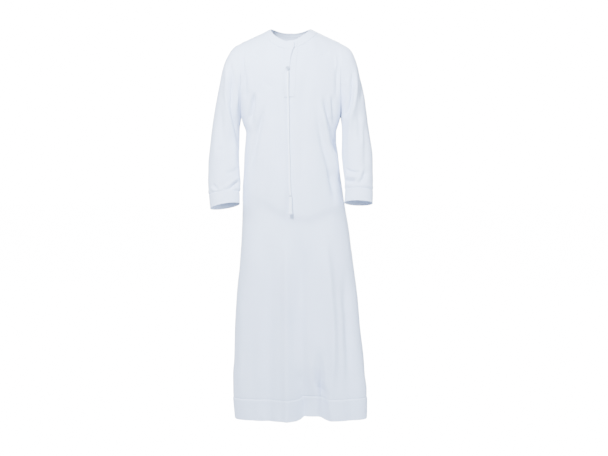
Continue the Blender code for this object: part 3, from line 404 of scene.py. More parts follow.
def brushTree():
    tree, given, out = treeWith("brushStrands", (
        ("Strands", "NodeSocketInt", 100), ("Root Radius", "NodeSocketFloat", 0.004),
        ("Length", "NodeSocketFloat", 0.05), ("Thread Radius", "NodeSocketFloat", 0.0004),
        ("Splay", "NodeSocketFloat", 0.05), ("Seed", "NodeSocketInt", 1),
        ("Material", "NodeSocketMaterial", None)))
    asked = given.outputs

    def times(*values):
        result = values[0]
        for value in values[1:]:
            result = treeMath(tree, "MULTIPLY", result, value)
        return result

    index = addNode(tree, "GeometryNodeInputIndex").outputs[0]
    share = treeMath(tree, "SQRT", treeMath(tree, "DIVIDE", index, asked["Strands"]))
    turn = times(index, 2.39996)  # the golden angle spreads the strands evenly
    radius = times(share, asked["Root Radius"])
    place = addNode(tree, "ShaderNodeCombineXYZ", {
        0: times(radius, treeMath(tree, "COSINE", turn)),
        1: times(radius, treeMath(tree, "SINE", turn), 0.82)})
    spots = addNode(tree, "GeometryNodePoints", {"Count": asked["Strands"], "Position": place.outputs[0]})
    end = addNode(tree, "ShaderNodeCombineXYZ", {2: times(asked["Length"], -1.0)})
    line = addNode(tree, "GeometryNodeCurvePrimitiveLine", {"End": end.outputs[0]})
    fine = addNode(tree, "GeometryNodeResampleCurve", {"Count": 9, "Curve": line.outputs[0]})
    ring = addNode(tree, "GeometryNodeCurvePrimitiveCircle", {
        "Resolution": 4, "Radius": asked["Thread Radius"]})
    strand = addNode(tree, "GeometryNodeCurveToMesh", {
        "Fill Caps": True, "Curve": fine.outputs[0], "Profile Curve": ring.outputs[0]})
    # each strand leans outwards by its own distance from the middle
    tilt = times(share, asked["Splay"])
    turns = addNode(tree, "ShaderNodeCombineXYZ", {
        0: times(tilt, treeMath(tree, "SINE", turn)),
        1: times(tilt, treeMath(tree, "COSINE", turn), -1.0)})
    uneven = addNode(tree, "FunctionNodeRandomValue", {2: 0.93, 3: 1.0, "Seed": asked["Seed"]},
                     data_type="FLOAT")
    size = addNode(tree, "ShaderNodeCombineXYZ", {0: 1, 1: 1, 2: uneven.outputs[1]})
    put = addNode(tree, "GeometryNodeInstanceOnPoints", {
        "Points": spots.outputs[0], "Instance": strand.outputs[0],
        "Rotation": turns.outputs[0], "Scale": size.outputs[0]})
    real = addNode(tree, "GeometryNodeRealizeInstances", {0: put.outputs[0]})
    # threads wander a little on the way down
    where = addNode(tree, "GeometryNodeInputPosition").outputs[0]
    wander = addNode(tree, "ShaderNodeTexNoise", {"Scale": 95, "Vector": where})
    centred = addNode(tree, "ShaderNodeVectorMath", {
        0: wander.outputs["Color"], 1: (0.5, 0.5, 0.5)}, operation="SUBTRACT")
    drop = addNode(tree, "ShaderNodeSeparateXYZ", {0: where})
    amount = addNode(tree, "ShaderNodeVectorMath", {
        0: centred.outputs[0], "Scale": times(drop.outputs[2], -0.075)}, operation="SCALE")
    moved = addNode(tree, "GeometryNodeSetPosition", {0: real.outputs[0], "Offset": amount.outputs[0]})
    dressed = addNode(tree, "GeometryNodeSetMaterial", {0: moved.outputs[0], "Material": asked["Material"]})
    tree.links.new(dressed.outputs[0], out.inputs[0])
    return tree


def makeTassel():
    shape = tasselShape
    x, y, top = shape["x"], shape["y"], shape["top"]
    base = bpy.data.objects.new("brushBase", bpy.data.meshes.new("brushBase"))
    bpy.context.scene.collection.objects.link(base)
    brush = plainFromTree("tasselBrush", base, brushTree(), {
        "Strands": shape["strands"], "Root Radius": shape["rootRadius"] * mm, "Length": shape["length"] * mm,
        "Thread Radius": shape["strandRadius"] * mm, "Splay": shape["splay"], "Seed": shape["seed"],
        "Material": whiteThread}, whiteThread)
    shift = Vector((x, y, top - shape["head"] + 2)) * mm
    for point in brush.data.vertices:
        point.co += shift
    # the head: a knot wound with grey thread, whose darkness is partly painted shade above the brush
    rings, sides = 40, 20
    points, faces = [], []
    profileZ = (0, 1, 3, 5, 6, 7)
    profileR = (3.4, 4.9, 5.5, 5.2, 4.7, 4.2)
    for i in range(rings + 1):
        drop = shape["head"] * i / rings
        radius = float(smooth(drop, profileZ, profileR)) - 0.28 + 0.22 * math.sin(drop * 2 * math.pi / 1.3)
        for n in range(sides):
            turn = 2 * math.pi * n / sides
            points.append((x + radius * math.cos(turn), y + 0.85 * radius * math.sin(turn), top - drop))
    for i in range(rings):
        for n in range(sides):
            m = (n + 1) % sides
            faces.append((i * sides + n, i * sides + m, (i + 1) * sides + m, (i + 1) * sides + n))
    faces.append(tuple(range(sides))[::-1])
    faces.append(tuple(rings * sides + n for n in range(sides)))
    head = joinedPiece("tasselHead", [(points, faces)], greyThreadAndShade)
    for piece in (brush, head):
        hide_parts("tassel")
    return [head, brush]


cordPiece, cordCentre = makeCord()
tasselPieces = makeTassel()
print("tassel cord and brush made")


# Form of the robe: the same sections as the solids

formSizes = {
    "wall": 1.2, "hemWall": 2.4, "bandLift": 1.1, "bandWall": 2.2,
    "underarm": -321.0, "sideX": 181.0, "sideY": 4.0, "tip": -49.0,
    "armholeFront": 72.0, "armholeBack": 76.0, "hemTop": -1352.5, "hem": -1432.0,
    "shoulderShare": 0.22, "ridgeHalf": (0, 75, 99, 181), "ridgeHeight": (16, 0, -11, -49),
}
bodySections = np.array((
    # height, left, right, front, back, seam y, front power, back power
    (-1432, -206, 279, -88, 118, -3, 2.5, 2.3),
    (-1400, -209, 280, -88, 117, -3, 2.5, 2.3),
    (-1328, -214, 280, -90, 116, -2, 2.5, 2.3),
    (-1269, -214, 273, -92, 115, -1, 2.5, 2.3),
    (-1210, -210, 269, -94, 114, 0, 2.5, 2.3),
    (-1092, -207, 255, -98, 113, 1, 2.5, 2.3),
    (-974, -199, 244, -104, 112, 2, 2.5, 2.3),
    (-856, -188, 229, -111, 110, 3, 2.5, 2.3),
    (-738, -181, 214, -117, 106, 4, 2.5, 2.3),
    (-627, -177, 195, -122, 97, 4, 2.4, 2.3),
    (-583, -177, 189, -123, 93, 4, 2.4, 2.3),
    (-524, -173, 180, -122, 90, 4, 2.4, 2.2),
    (-450, -170, 172, -119, 93, 4, 2.4, 2.2),
    (-406, -166, 166, -117, 96, 4, 2.4, 2.2),
    (-376, -164, 166, -116, 98, 4, 2.4, 2.2),
    (-345, -174, 174, -115, 100, 4, 2.4, 2.2),
    (-321, -181, 181, -114, 101, 4, 2.4, 2.2),
), float)
neckEdge = {
    "front": {"half": 75, "y": 0, "z": 0, "depth": -76, "drop": -48, "round": 0.95, "dip": 1.6, "lean": -9},
    "back": {"half": 75, "y": 0, "z": 0, "depth": 66, "drop": -13, "round": 1.0, "dip": 1.6, "lean": 0},
}
bandEdge = {
    "front": {"half": 99, "y": 1, "z": -11, "depth": -89, "drop": -64, "round": 0.95, "dip": 1.6, "lean": -9},
    "back": {"half": 99, "y": 1, "z": -11, "depth": 77, "drop": -26, "round": 1.0, "dip": 1.6, "lean": 0},
}
recess = {"left": (30, 50), "right": (94, 148), "top": -1130, "depth": 34, "rise": 13}

frontFolds = (
    softFold(14, -6.0, (-128, -235), (-142, -327), (-148, -372)),
    softFold(17, -4.0, (-104, -290), (-126, -399), (-141, -471), (-149, -560)),
    softFold(16, -6.5, (122, -245), (146, -327), (158, -385), (162, -470)),
    softFold(19, -6.0, (100, -370), (131, -424), (150, -500), (162, -560), (164, -650)),
    softFold(13, 3.0, (106, -240), (134, -390), (160, -497), (170, -560)),
    softFold(20, 6.0, (-14, -720), (-12, -1000), (-8, -1432), runsOut=True),
    softFold(15, -6.0, (12, -930), (14, -1120), (20, -1432), runsOut=True),
    softFold(21, 6.5, (104, -700), (122, -840), (150, -1163), (158, -1300)),
    softFold(24, -7.5, (182, -830), (196, -1000), (212, -1200), (222, -1432), runsOut=True),
    softFold(34, -7.0, (-92, -900), (-100, -1100), (-108, -1432), runsOut=True),
    softFold(30, 5.0, (-142, -680), (-152, -900), (-166, -1250)),
    softFold(24, -4.0, (52, -760), (62, -900), (74, -1130)),
)
backFolds = (
    softFold(30, 7.0, (-10, -640), (-4, -900), (0, -1432), runsOut=True),
    softFold(30, -8.0, (-84, -560), (-92, -900), (-104, -1432), runsOut=True),
    softFold(32, -8.0, (74, -600), (92, -940), (106, -1432), runsOut=True),
    softFold(26, 6.0, (-140, -760), (-150, -1000), (-160, -1432), runsOut=True),
    softFold(28, 6.5, (140, -700), (166, -1000), (186, -1432), runsOut=True),
    softFold(18, -6.0, (-120, -230), (-138, -330), (-140, -470)),
    softFold(18, -6.0, (118, -235), (136, -340), (138, -480)),
    softFold(30, -5.0, (0, -360), (-6, -470), (-4, -600)),
)
# Creases too fine for the solids, all deepened by one factor
creaseDepth = {"body": 1.85, "sleeve": 1.85}
frontCreases = (
    # drag lines from the wearer's right underarm
    softFold(7, -6.0, (-130, -225), (-137, -262), (-146, -312), (-154, -345)),
    softFold(8, 3.4, (-112, -228), (-119, -262), (-130, -316), (-138, -352)),
    softFold(8, -5.0, (-90, -265), (-108, -327), (-119, -365), (-133, -428), (-145, -479), (-153, -530)),
    softFold(9, 2.2, (-76, -275), (-92, -330), (-102, -370), (-114, -430), (-126, -490)),
    softFold(9, -3.4, (-169, -140), (-168, -200), (-163, -262)),
    softFold(9, 2.0, (-152, -150), (-150, -195), (-146, -240)),
    softFold(3, 1.8, (-163, -98), (-164, -125), (-161, -150)),
    softFold(3, -1.6, (-170, -104), (-170, -132), (-168, -156)),
    softFold(3.5, 1.2, (-152, -104), (-155, -128), (-156, -140)),
    softFold(6, -1.2, (-142, -82), (-128, -94), (-112, -98)),
    softFold(9, -1.0, (-104, -180), (-84, -206), (-58, -212)),
    # drag lines from the left underarm
    softFold(6.5, -5.4, (114, -225), (131, -292), (145, -345), (160, -400), (170, -445), (176, -500)),
    softFold(9, 4.2, (100, -235), (112, -292), (123, -345), (134, -400), (150, -455), (168, -515),
             (178, -580)),
    softFold(6, -4.6, (149, -235), (155, -290), (162, -340), (168, -372)),
    softFold(5, 2.2, (134, -235), (143, -290), (150, -335)),
    softFold(10, -4.4, (88, -285), (102, -340), (114, -400), (131, -460), (145, -515), (163, -570),
             (170, -620)),
    softFold(16, -5.0, (146, -500), (160, -560), (168, -606), (170, -640)),
    softFold(3, 1.6, (163, -98), (165, -128), (162, -152)),
    softFold(8, -3.0, (168, -135), (168, -200), (165, -262)),
    softFold(6, -1.2, (140, -84), (126, -95), (108, -98)),
    # the cloth falls in under the waist
    softFold(56, -4.2, (-184, -622), (-150, -638), (-100, -666), (-10, -714), (70, -720), (150, -690),
             runsOut=True, lean=-0.72),
    # the skirt's long folds
    softFold(12, 4.6, (-16, -690), (-18, -900), (-18, -1160), (-16, -1432), runsOut=True),
    softFold(19, -6.8, (28, -700), (35, -860), (37, -1100), (39, -1432), runsOut=True),
    softFold(12, 2.2, (64, -740), (66, -930), (68, -1180)),
    softFold(9, -6.0, (31, -1230), (34, -1340), (35, -1432), runsOut=True),
    softFold(9, -3.4, (94, -1230), (104, -1300), (128, -1336), (150, -1342)),
    softFold(9, -4.0, (104, -1290), (122, -1366), (136, -1432), runsOut=True),
    softFold(9, 2.4, (72, -1180), (78, -1300), (82, -1370)),
    softFold(13, -3.4, (196, -860), (207, -1060), (216, -1300)),
    softFold(12, 2.4, (178, -930), (188, -1100), (196, -1300)),
    softFold(20, -5.6, (-70, -700), (-74, -900), (-77, -1180), (-80, -1432), runsOut=True),
    softFold(14, 2.6, (-176, -900), (-184, -1150), (-188, -1400)),
    softFold(17, -2.4, (-136, -1010), (-142, -1240), (-146, -1432), runsOut=True),
    softFold(11, -5.6, (102, -1150), (109, -1270), (113, -1350), (113, -1432), runsOut=True),
    softFold(13, 4.8, (122, -720), (130, -790), (144, -950), (156, -1095), (154, -1250), (149, -1390)),
    softFold(5, -2.4, (120, -1240), (112, -1290), (116, -1345)),
    softFold(5, -2.2, (88, -1270), (98, -1310), (112, -1330)),
    softFold(5, 1.6, (134, -1230), (124, -1280), (126, -1320)),
    # the chest
    softFold(20, -1.8, (60, -140), (46, -240), (40, -330)),
    softFold(20, -1.6, (-70, -150), (-62, -260), (-66, -360)),
    softFold(16, -1.6, (-46, -330), (-40, -440), (-44, -540)),
    softFold(14, -1.6, (38, -380), (42, -480), (36, -580)),
)
backCreases = (
    softFold(16, -2.2, (-40, -90), (-64, -180), (-70, -300)),
    softFold(15, -2.2, (44, -92), (60, -190), (64, -310)),
    softFold(8, -5.0, (-122, -228), (-138, -280), (-152, -330), (-160, -372)),
    softFold(9, 2.8, (-108, -232), (-122, -290), (-138, -348)),
    softFold(8, -5.0, (122, -230), (138, -284), (150, -334), (160, -380)),
    softFold(9, 2.8, (106, -236), (121, -292), (137, -352)),
    softFold(8, -3.0, (-168, -150), (-166, -210), (-160, -270)),
    softFold(8, -3.0, (168, -150), (166, -210), (160, -270)),
    softFold(10, -3.0, (-62, -440), (8, -472), (74, -452)),
    softFold(12, 2.4, (-84, -498), (-10, -526), (86, -500)),
    softFold(9, -2.2, (-50, -545), (6, -562), (60, -548)),
    softFold(12, -3.0, (-50, -620), (-54, -900), (-60, -1300)),
    softFold(13, -3.2, (36, -700), (40, -1000), (50, -1432), runsOut=True),
    softFold(13, -3.0, (128, -800), (140, -1080), (150, -1432), runsOut=True),
    softFold(13, -3.2, (-122, -860), (-130, -1140), (-136, -1432), runsOut=True),
    softFold(12, 2.4, (-186, -820), (-194, -1100), (-200, -1400)),
    softFold(12, 2.4, (206, -900), (220, -1120), (228, -1400)),
)


def neckCurve(table, q):
    swing = np.clip(np.sin(np.pi * q), 0, 1)
    return np.stack([
        -table["half"] * np.cos(np.pi * q) + table["lean"] * swing,
        table["y"] + table["depth"] * swing ** table["round"],
        table["z"] + table["drop"] * swing ** table["dip"],
    ], -1)


def bodySection(side, s, z):
    # s runs from the wearer's right side seam to the left
    height, left, right, front, back, seam, frontPower, backPower = bodySections.T
    left, right, seam = (smooth(z, height, v) for v in (left, right, seam))
    depth = smooth(z, height, front if side == "front" else back)
    power = smooth(z, height, frontPower if side == "front" else backPower)
    turn = np.cos(np.pi * s)
    x = (left + right) / 2 - (right - left) / 2 * np.sign(turn) * np.abs(turn) ** (2 / power)
    y = seam + (depth - seam) * np.clip(np.sin(np.pi * s), 0, 1) ** (2 / power)
    return np.stack([x, y, np.broadcast_to(z, x.shape)], -1)


def bulge(turn):
    # how far an armhole stands out from its straight line, from the underarm (0) up to the shoulder
    return np.sin(turn) * np.sin(turn / 2) ** 0.5 / 0.8621


def armholeLine(side, count):
    turn = np.linspace(0, np.pi, 600)
    depth = -formSizes["armholeFront"] if side == "front" else formSizes["armholeBack"]
    y = formSizes["sideY"] + depth * bulge(turn)
    low, high = formSizes["underarm"], formSizes["tip"]
    return even(np.stack([y, (low + high) / 2 - (high - low) / 2 * np.cos(turn)], -1), count)


def chestProfile(side, s, t):
    level = formSizes["underarm"]
    low = bodySection(side, s, np.full(s.shape, level))
    below = bodySection(side, s, np.full(s.shape, level - 8.0))
    share = np.clip(np.abs(low[..., 0]) / formSizes["sideX"], 0, 1)
    ridge = smooth(np.abs(low[..., 0]), formSizes["ridgeHalf"], formSizes["ridgeHeight"])
    top = np.stack([low[..., 0], formSizes["sideY"] * share, ridge], -1)
    reach = np.linalg.norm(top - low, axis=-1)[..., None]
    start = (low - below) / 8.0 * (0, 1, 1) * reach * 0.95
    tilt = 0.2 * (1 - share**2)
    over = np.stack([0 * tilt, np.sqrt(1 - tilt**2), tilt], -1) * (1 if side == "front" else -1)
    finish = over * reach * (0.9 + 0.2 * (1 - share**2))[..., None]
    t = np.asarray(t)[..., None]
    return (low * (2 * t**3 - 3 * t**2 + 1) + start * (t**3 - 2 * t**2 + t)
            + top * (3 * t**2 - 2 * t**3) + finish * (t**3 - t**2))


def upperSurface(side, s, t):
    # from the underarm level (t = 0) to the line over the shoulders (t = 1), drawn in at the armholes
    s, t = np.broadcast_arrays(np.asarray(s, float), np.asarray(t, float))
    points = chestProfile(side, s, t)
    edge = armholeLine(side, 240)
    at = np.linspace(0, 1, 241)
    drawn = np.stack([np.full(t.shape, formSizes["sideX"]), np.interp(t, at, edge[:, 0]),
                      np.interp(t, at, edge[:, 1])], -1)
    for sign, end, run in ((-1, 0.0, s), (1, 1.0, 1 - s)):
        pull = drawn * (sign, 1, 1) - chestProfile(side, np.full(s.shape, end), t)
        points = points + pull * (np.clip(1 - run / 0.5, 0, 1) ** 3.0)[..., None]
    return points


def shareOf(side, x):
    power = bodySections[-1][6 if side == "front" else 7]
    return math.acos((x / formSizes["sideX"]) ** (power / 2)) / math.pi


def neckPlaces(side, q, table):
    # the (s, t) of a neck edge at each q, the points of the upper surface nearest to its curve
    s, t = np.meshgrid(np.linspace(0.15, 0.85, 211), np.linspace(0.35, 1, 131), indexing="ij")
    points = upperSurface(side, s, t)
    anchors = np.linspace(0, 1, 49)
    found = []
    for point in neckCurve(table[side], anchors):
        k = np.unravel_index(np.argmin(np.sum((points - point) ** 2, -1)), s.shape)
        nearS, nearT = np.meshgrid(s[k] + np.linspace(-1, 1, 41) / 280,
                                   np.clip(t[k] + np.linspace(-1, 1, 41) / 190, 0, 1), indexing="ij")
        close = upperSurface(side, nearS, nearT)
        m = np.unravel_index(np.argmin(np.sum((close - point) ** 2, -1)), nearS.shape)
        found.append((nearS[m], nearT[m]))
    found = np.array(found)
    end = shareOf(side, table[side]["half"])
    found[0], found[-1] = (end, 1), (1 - end, 1)
    return np.stack([smooth(q, anchors, found[:, 0]), smooth(q, anchors, found[:, 1])], -1)


# Body panels

panelDetail = {
    "front": {"columns": 128, "upper": 66, "lower": 230, "seed": 3.0},
    "back": {"columns": 104, "upper": 54, "lower": 190, "seed": 11.0},
    "slit": (0.4835, 0.4885), "slitEnd": -243,
}


def panelColumns(side):
    share = formSizes["shoulderShare"]
    count = panelDetail[side]["columns"]
    shoulder = int(count * share)
    middle = count - 2 * shoulder
    s = np.concatenate([np.linspace(0, share, shoulder + 1)[:-1], np.linspace(share, 1 - share, middle + 1),
                        np.linspace(1 - share, 1, shoulder + 1)[1:]])
    if side == "front":
        low, high = panelDetail["slit"]
        s = s[(s < low - 0.004) | (s > high + 0.004)]
        s = np.sort(np.append(s, (low, high)))
    return s


def lowerLevels(count):
    # even levels, with closer ones at the hem's stitch line and its edge
    z = np.linspace(formSizes["hem"], formSizes["underarm"], count)
    stitch = formSizes["hemTop"]
    z = z[(np.abs(z - stitch) > 5) & ((z > formSizes["hem"] + 4) | (z <= formSizes["hem"]))]
    besideStitch = stitch + np.array((-4, -2, -0.8, 0.8, 2, 4))
    return np.sort(np.concatenate([z, besideStitch, formSizes["hem"] + np.array((0.7, 2))]))


def edgeDistances(grid):
    left, down = walkedAcross(grid), walkedAlong(grid)
    return np.minimum(left, left[:, -1:] - left), down[-1:] - down


def panelGrid(side):
    s = panelColumns(side)
    detail = panelDetail[side]
    levels = lowerLevels(detail["lower"])
    share = formSizes["shoulderShare"]
    q = (s - share) / (1 - 2 * share)
    neck = (q >= -1e-9) & (q <= 1 + 1e-9)
    top = np.zeros((len(s), 2))
    top[neck] = neckPlaces(side, np.clip(q[neck], 0, 1), bandEdge)
    for k in np.where(~neck)[0]:
        run = min(s[k], 1 - s[k]) / share
        place = shareOf(side, formSizes["sideX"] + (bandEdge[side]["half"] - formSizes["sideX"]) * run)
        top[k] = (place if s[k] < 0.5 else 1 - place, 1)
    lower = [bodySection(side, s, np.full(s.shape, z)) for z in levels]
    upper = []
    for row in range(1, detail["upper"] + 1):
        t = row / detail["upper"]
        upper.append(upperSurface(side, s + (top[:, 0] - s) * float(ease(t, 0, 1)), top[:, 1] * t))
    grid = np.array(lower + upper)
    outward = np.array([0, -1 if side == "front" else 1, 0])
    normal = gridNormals(grid, outward)
    count = len(levels)
    hold = ease(s, 0, 0.07) * ease(1 - s, 0, 0.07)
    rowsUp = np.arange(1, detail["upper"] + 1)
    climb = np.concatenate([np.ones(count), 1 - ease(rowsUp, detail["upper"] * 0.5, detail["upper"])])
    folds, creases = (frontFolds, frontCreases) if side == "front" else (backFolds, backCreases)
    height = foldHeight(folds, grid[..., 0], grid[..., 2]) * hold[None] * climb[:, None]
    fine = foldHeight(creases, grid[..., 0], grid[..., 2])
    fine = fine * creaseDepth["body"]
    sideways, downTop = edgeDistances(grid)
    calm = ease(sideways, 0, 26) * ease(downTop, 0, 22)
    fine = fine * calm
    fine = fine + softNoise(grid, (85, 85, 220), 3.2, detail["seed"]) * calm
    fine = fine + softNoise(grid, (30, 30, 62), 1.0, detail["seed"] + 5) * calm
    # seams and the hem's stitch line sit a little below the cloth beside them
    fine = fine - 0.8 * np.exp(-((sideways / 2.2) ** 2))
    fine[count:] -= 0.9 * np.exp(-((downTop[count:] / 2.4) ** 2))
    fine = fine - 1.3 * np.exp(-(((grid[..., 2] - formSizes["hemTop"]) / 2.6) ** 2))
    fine = fine + 0.9 * ease(-grid[..., 2], -formSizes["hemTop"], -formSizes["hemTop"] + 5)
    grid = grid + normal * (height + fine)[..., None]
    if side == "front":
        x, z = grid[..., 0], grid[..., 2]
        back = ease(x, *recess["left"]) * (1 - ease(x, *recess["right"]))
        back = back * ease(-z, -recess["top"], 1432) ** 1.3
        grid = grid + np.stack([0 * x, recess["depth"] * back, recess["rise"] * back], -1)
    return s, grid, gridNormals(grid, outward), levels


def bodyPanels():
    made = {}
    for side in ("front", "back"):
        s, grid, normal, levels = panelGrid(side)
        walls = np.full(len(grid), formSizes["wall"])
        inHem = levels <= formSizes["hemTop"] + 1
        walls[: len(levels)] += (formSizes["hemWall"] - formSizes["wall"]) * inHem
        inner = grid - normal * walls[:, None, None]
        cut = ()
        if side == "front":
            first = int(np.argmin(np.abs(s - panelDetail["slit"][0])))
            cut = [(i, first) for i in range(len(grid) - 1) if grid[i, first, 2] > panelDetail["slitEnd"] - 3]
        piece = clothPiece(side + "Panel", grid, inner, whiteCloth, cut=cut)
        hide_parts(side + "_body")
        made[side] = {"piece": piece, "s": s, "grid": grid, "normal": normal, "levels": levels}
        print(side, "panel made", len(piece.data.polygons))
    return made


panels = bodyPanels()


# Neck band and its rolled edge

bandDetail = {"rows": 18, "grooves": (11.0, 25.6), "grooveDepth": 0.7, "rollRadius": 1.7}


def neckBand():
    columns = []
    share = formSizes["shoulderShare"]
    for side in ("front", "back"):
        s = panels[side]["s"]
        chosen = s[(s >= share - 1e-9) & (s <= 1 - share + 1e-9)]
        chosen = chosen if side == "front" else chosen[-2:0:-1]
        columns.extend((side, float(v)) for v in chosen)
    sides = np.array([side for side, _ in columns])
    q = (np.array([v for _, v in columns]) - share) / (1 - 2 * share)
    low, high = np.zeros((len(q), 2)), np.zeros((len(q), 2))
    for side in ("front", "back"):
        here = sides == side
        low[here] = neckPlaces(side, q[here], bandEdge)
        high[here] = neckPlaces(side, q[here], neckEdge)
    rows = []
    for k in range(bandDetail["rows"] + 1):
        at = low + (high - low) * k / bandDetail["rows"]
        row = np.zeros((len(q), 3))
        for side in ("front", "back"):
            here = sides == side
            row[here] = upperSurface(side, at[here, 0], at[here, 1])
        rows.append(row)
    band = np.array(rows)
    normal = np.cross(np.roll(band, -1, 1) - np.roll(band, 1, 1), np.gradient(band, axis=0))
    normal /= np.linalg.norm(normal, axis=-1, keepdims=True)
    normal *= np.where(normal[..., 2:] < 0, -1, 1)
    fromEdge = np.linalg.norm(band - band[-1:], axis=-1)
    lift = np.full(fromEdge.shape, formSizes["bandLift"])
    for groove in bandDetail["grooves"]:
        lift -= bandDetail["grooveDepth"] * np.exp(-(((fromEdge - groove) / 1.3) ** 2))
    lift += softNoise(band, (24, 24, 24), 0.25, 2.0)
    outer = band + normal * lift[..., None]
    onFront = np.where(sides == "front", np.array([v for _, v in columns]), 9)
    cut = int(np.argmin(np.abs(onFront - panelDetail["slit"][0])))
    piece = clothPiece("neckBand", outer, outer - normal * formSizes["bandWall"], whiteCloth, closed=True,
                       cut=[(i, cut) for i in range(bandDetail["rows"])])
    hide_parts("neck_band")
    inwards = band[-1] - band[-2]
    inwards /= np.linalg.norm(inwards, axis=1, keepdims=True)
    middle = outer[-1] - normal[-1] * formSizes["bandWall"] / 2 + inwards * 1.2
    path = np.concatenate([middle[cut + 1:], middle[: cut + 1]])
    path = path[~((path[:, 1] < -40) & (path[:, 0] > -27) & (path[:, 0] < 24))]
    roll = joinedPiece("neckRoll", [tubeMesh(path, bandDetail["rollRadius"], 12)], whiteCloth)
    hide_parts("neck_binding")
    frontCount = int(np.sum(sides == "front"))
    lines = []
    for groove in bandDetail["grooves"]:
        row = int(np.argmin(np.abs(fromEdge[:, len(q) // 4] - groove)))
        lines.append(np.concatenate([outer[row, cut + 2:], outer[row, : cut - 1]]) + 0)
    return piece, outer[:, :frontCount], lines


bandPiece, bandFront, bandLines = neckBand()
print("neck band made")


# Sleeves and cuffs

sleeveTable = {
    "right": (
        # inner x, inner z, outer x, outer z, y, half depth front, half depth back, tilt, vee
        (-181.2, -321, -181.2, -49, 4, 72, 76, 0, 1.0),
        (-182.0, -322.5, -203, -61, 4, 72, 75, 0, 0.82),
        (-182.4, -324, -219, -75, 4, 72, 74, 0, 0.64),
        (-182.7, -326, -230, -93, 3, 71, 73, 0, 0.48),
        (-183.0, -328.5, -240, -115, 3, 71, 72, 0, 0.35),
        (-183.4, -331.5, -249, -146, 2, 70, 70, 0, 0.24),
        (-183.9, -335.5, -258, -186, 1, 69, 68, 0, 0.15),
        (-184.6, -340.5, -267, -228, 0, 68, 66, 0, 0.08),
        (-185.4, -347, -275, -270, -1, 67, 65, 1, 0.04),
        (-186.5, -356, -283, -315, -2, 66, 64, 1, 0.02),
        (-187.5, -371, -289, -355, -3, 65, 63, 2, 0),
        (-188.5, -396, -294, -394, -5, 64, 62, 3, 0),
        (-189.0, -432, -298, -432, -10, 62, 60, 4, 0),
        (-189.0, -468, -301, -470, -17, 60, 58, 5, 0),
        (-188.0, -502, -303, -508, -25, 57, 55, 6, 0),
        (-186.5, -530, -303, -538, -33, 54, 51, 7, 0),
        (-184.5, -556, -302, -564, -41, 50, 47, 9, 0),
        (-185.5, -578, -300, -587, -47, 46, 43, 10, 0),
        (-187.5, -592, -298, -603, -51, 43, 40, 11, 0),
    ),
    "left": (
        (181.2, -321, 181.2, -49, 4, 72, 76, 0, 1.0),
        (182.0, -322.5, 203, -61, 4, 72, 75, 0, 0.82),
        (182.4, -324, 219, -75, 4, 72, 74, 0, 0.64),
        (182.7, -326, 230, -93, 3, 71, 73, 0, 0.48),
        (183.0, -328.5, 240, -115, 3, 71, 72, 0, 0.35),
        (183.4, -331.5, 249, -146, 2, 70, 70, 0, 0.24),
        (183.9, -335.5, 258, -186, 1, 69, 68, 0, 0.15),
        (184.6, -340.5, 267, -228, 0, 68, 66, 0, 0.08),
        (185.4, -347, 274, -270, -1, 67, 65, 1, 0.04),
        (186.2, -356, 280, -315, -2, 66, 64, 1, 0.02),
        (186.8, -371, 286, -355, -3, 65, 63, 2, 0),
        (187.0, -396, 291, -394, -6, 64, 62, 3, 0),
        (187.0, -432, 296, -432, -12, 62, 60, 4, 0),
        (188.0, -468, 299, -470, -20, 60, 58, 5, 0),
        (190.5, -502, 300, -504, -29, 57, 54, 6, 0),
        (193.5, -528, 300, -530, -38, 54, 50, 8, 0),
        (195.5, -551, 300, -552, -46, 50, 46, 9, 0),
        (197.0, -571, 299, -573, -53, 46, 42, 10, 0),
        (198.0, -584, 298, -587, -57, 43, 40, 11, 0),
    ),
}
cuffTable = {
    "right": (
        (-187.5, -592, -298, -603, -51, 43, 40, 11, 0),
        (-187.0, -605, -296.5, -618, -54, 42.5, 39.5, 11.5, 0),
        (-186.5, -618, -295, -635, -57, 42, 39, 12, 0),
        (-186.0, -634, -293, -652, -60, 42, 39, 12, 0),
    ),
    "left": (
        (198.0, -584, 298, -587, -57, 43, 40, 11, 0),
        (197.5, -597, 298, -600, -60, 42.5, 39.5, 11.5, 0),
        (196.5, -611, 298, -615, -63, 42, 39, 12, 0),
        (195.5, -630, 297.5, -633, -66, 42, 39, 12, 0),
    ),
}
sleeveFolds = {
    "right": (
        softFold(13, 3.0, (-238, -105), (-238, -180), (-237, -250)),
        softFold(14, -5.0, (-228, -250), (-212, -315), (-190, -385)),
        softFold(14, 3.0, (-248, -250), (-233, -330), (-222, -420)),
        softFold(12, -3.5, (-188, -548), (-214, -574), (-262, -576)),
    ),
    "left": (
        softFold(13, 3.5, (234, -130), (234, -242), (219, -297), (198, -400)),
        softFold(13, -3.5, (258, -165), (259, -250), (252, -320)),
        softFold(13, -4.0, (219, -205), (214, -260), (194, -325)),
        softFold(12, -3.5, (268, -505), (262, -530), (245, -556), (205, -560)),
    ),
}
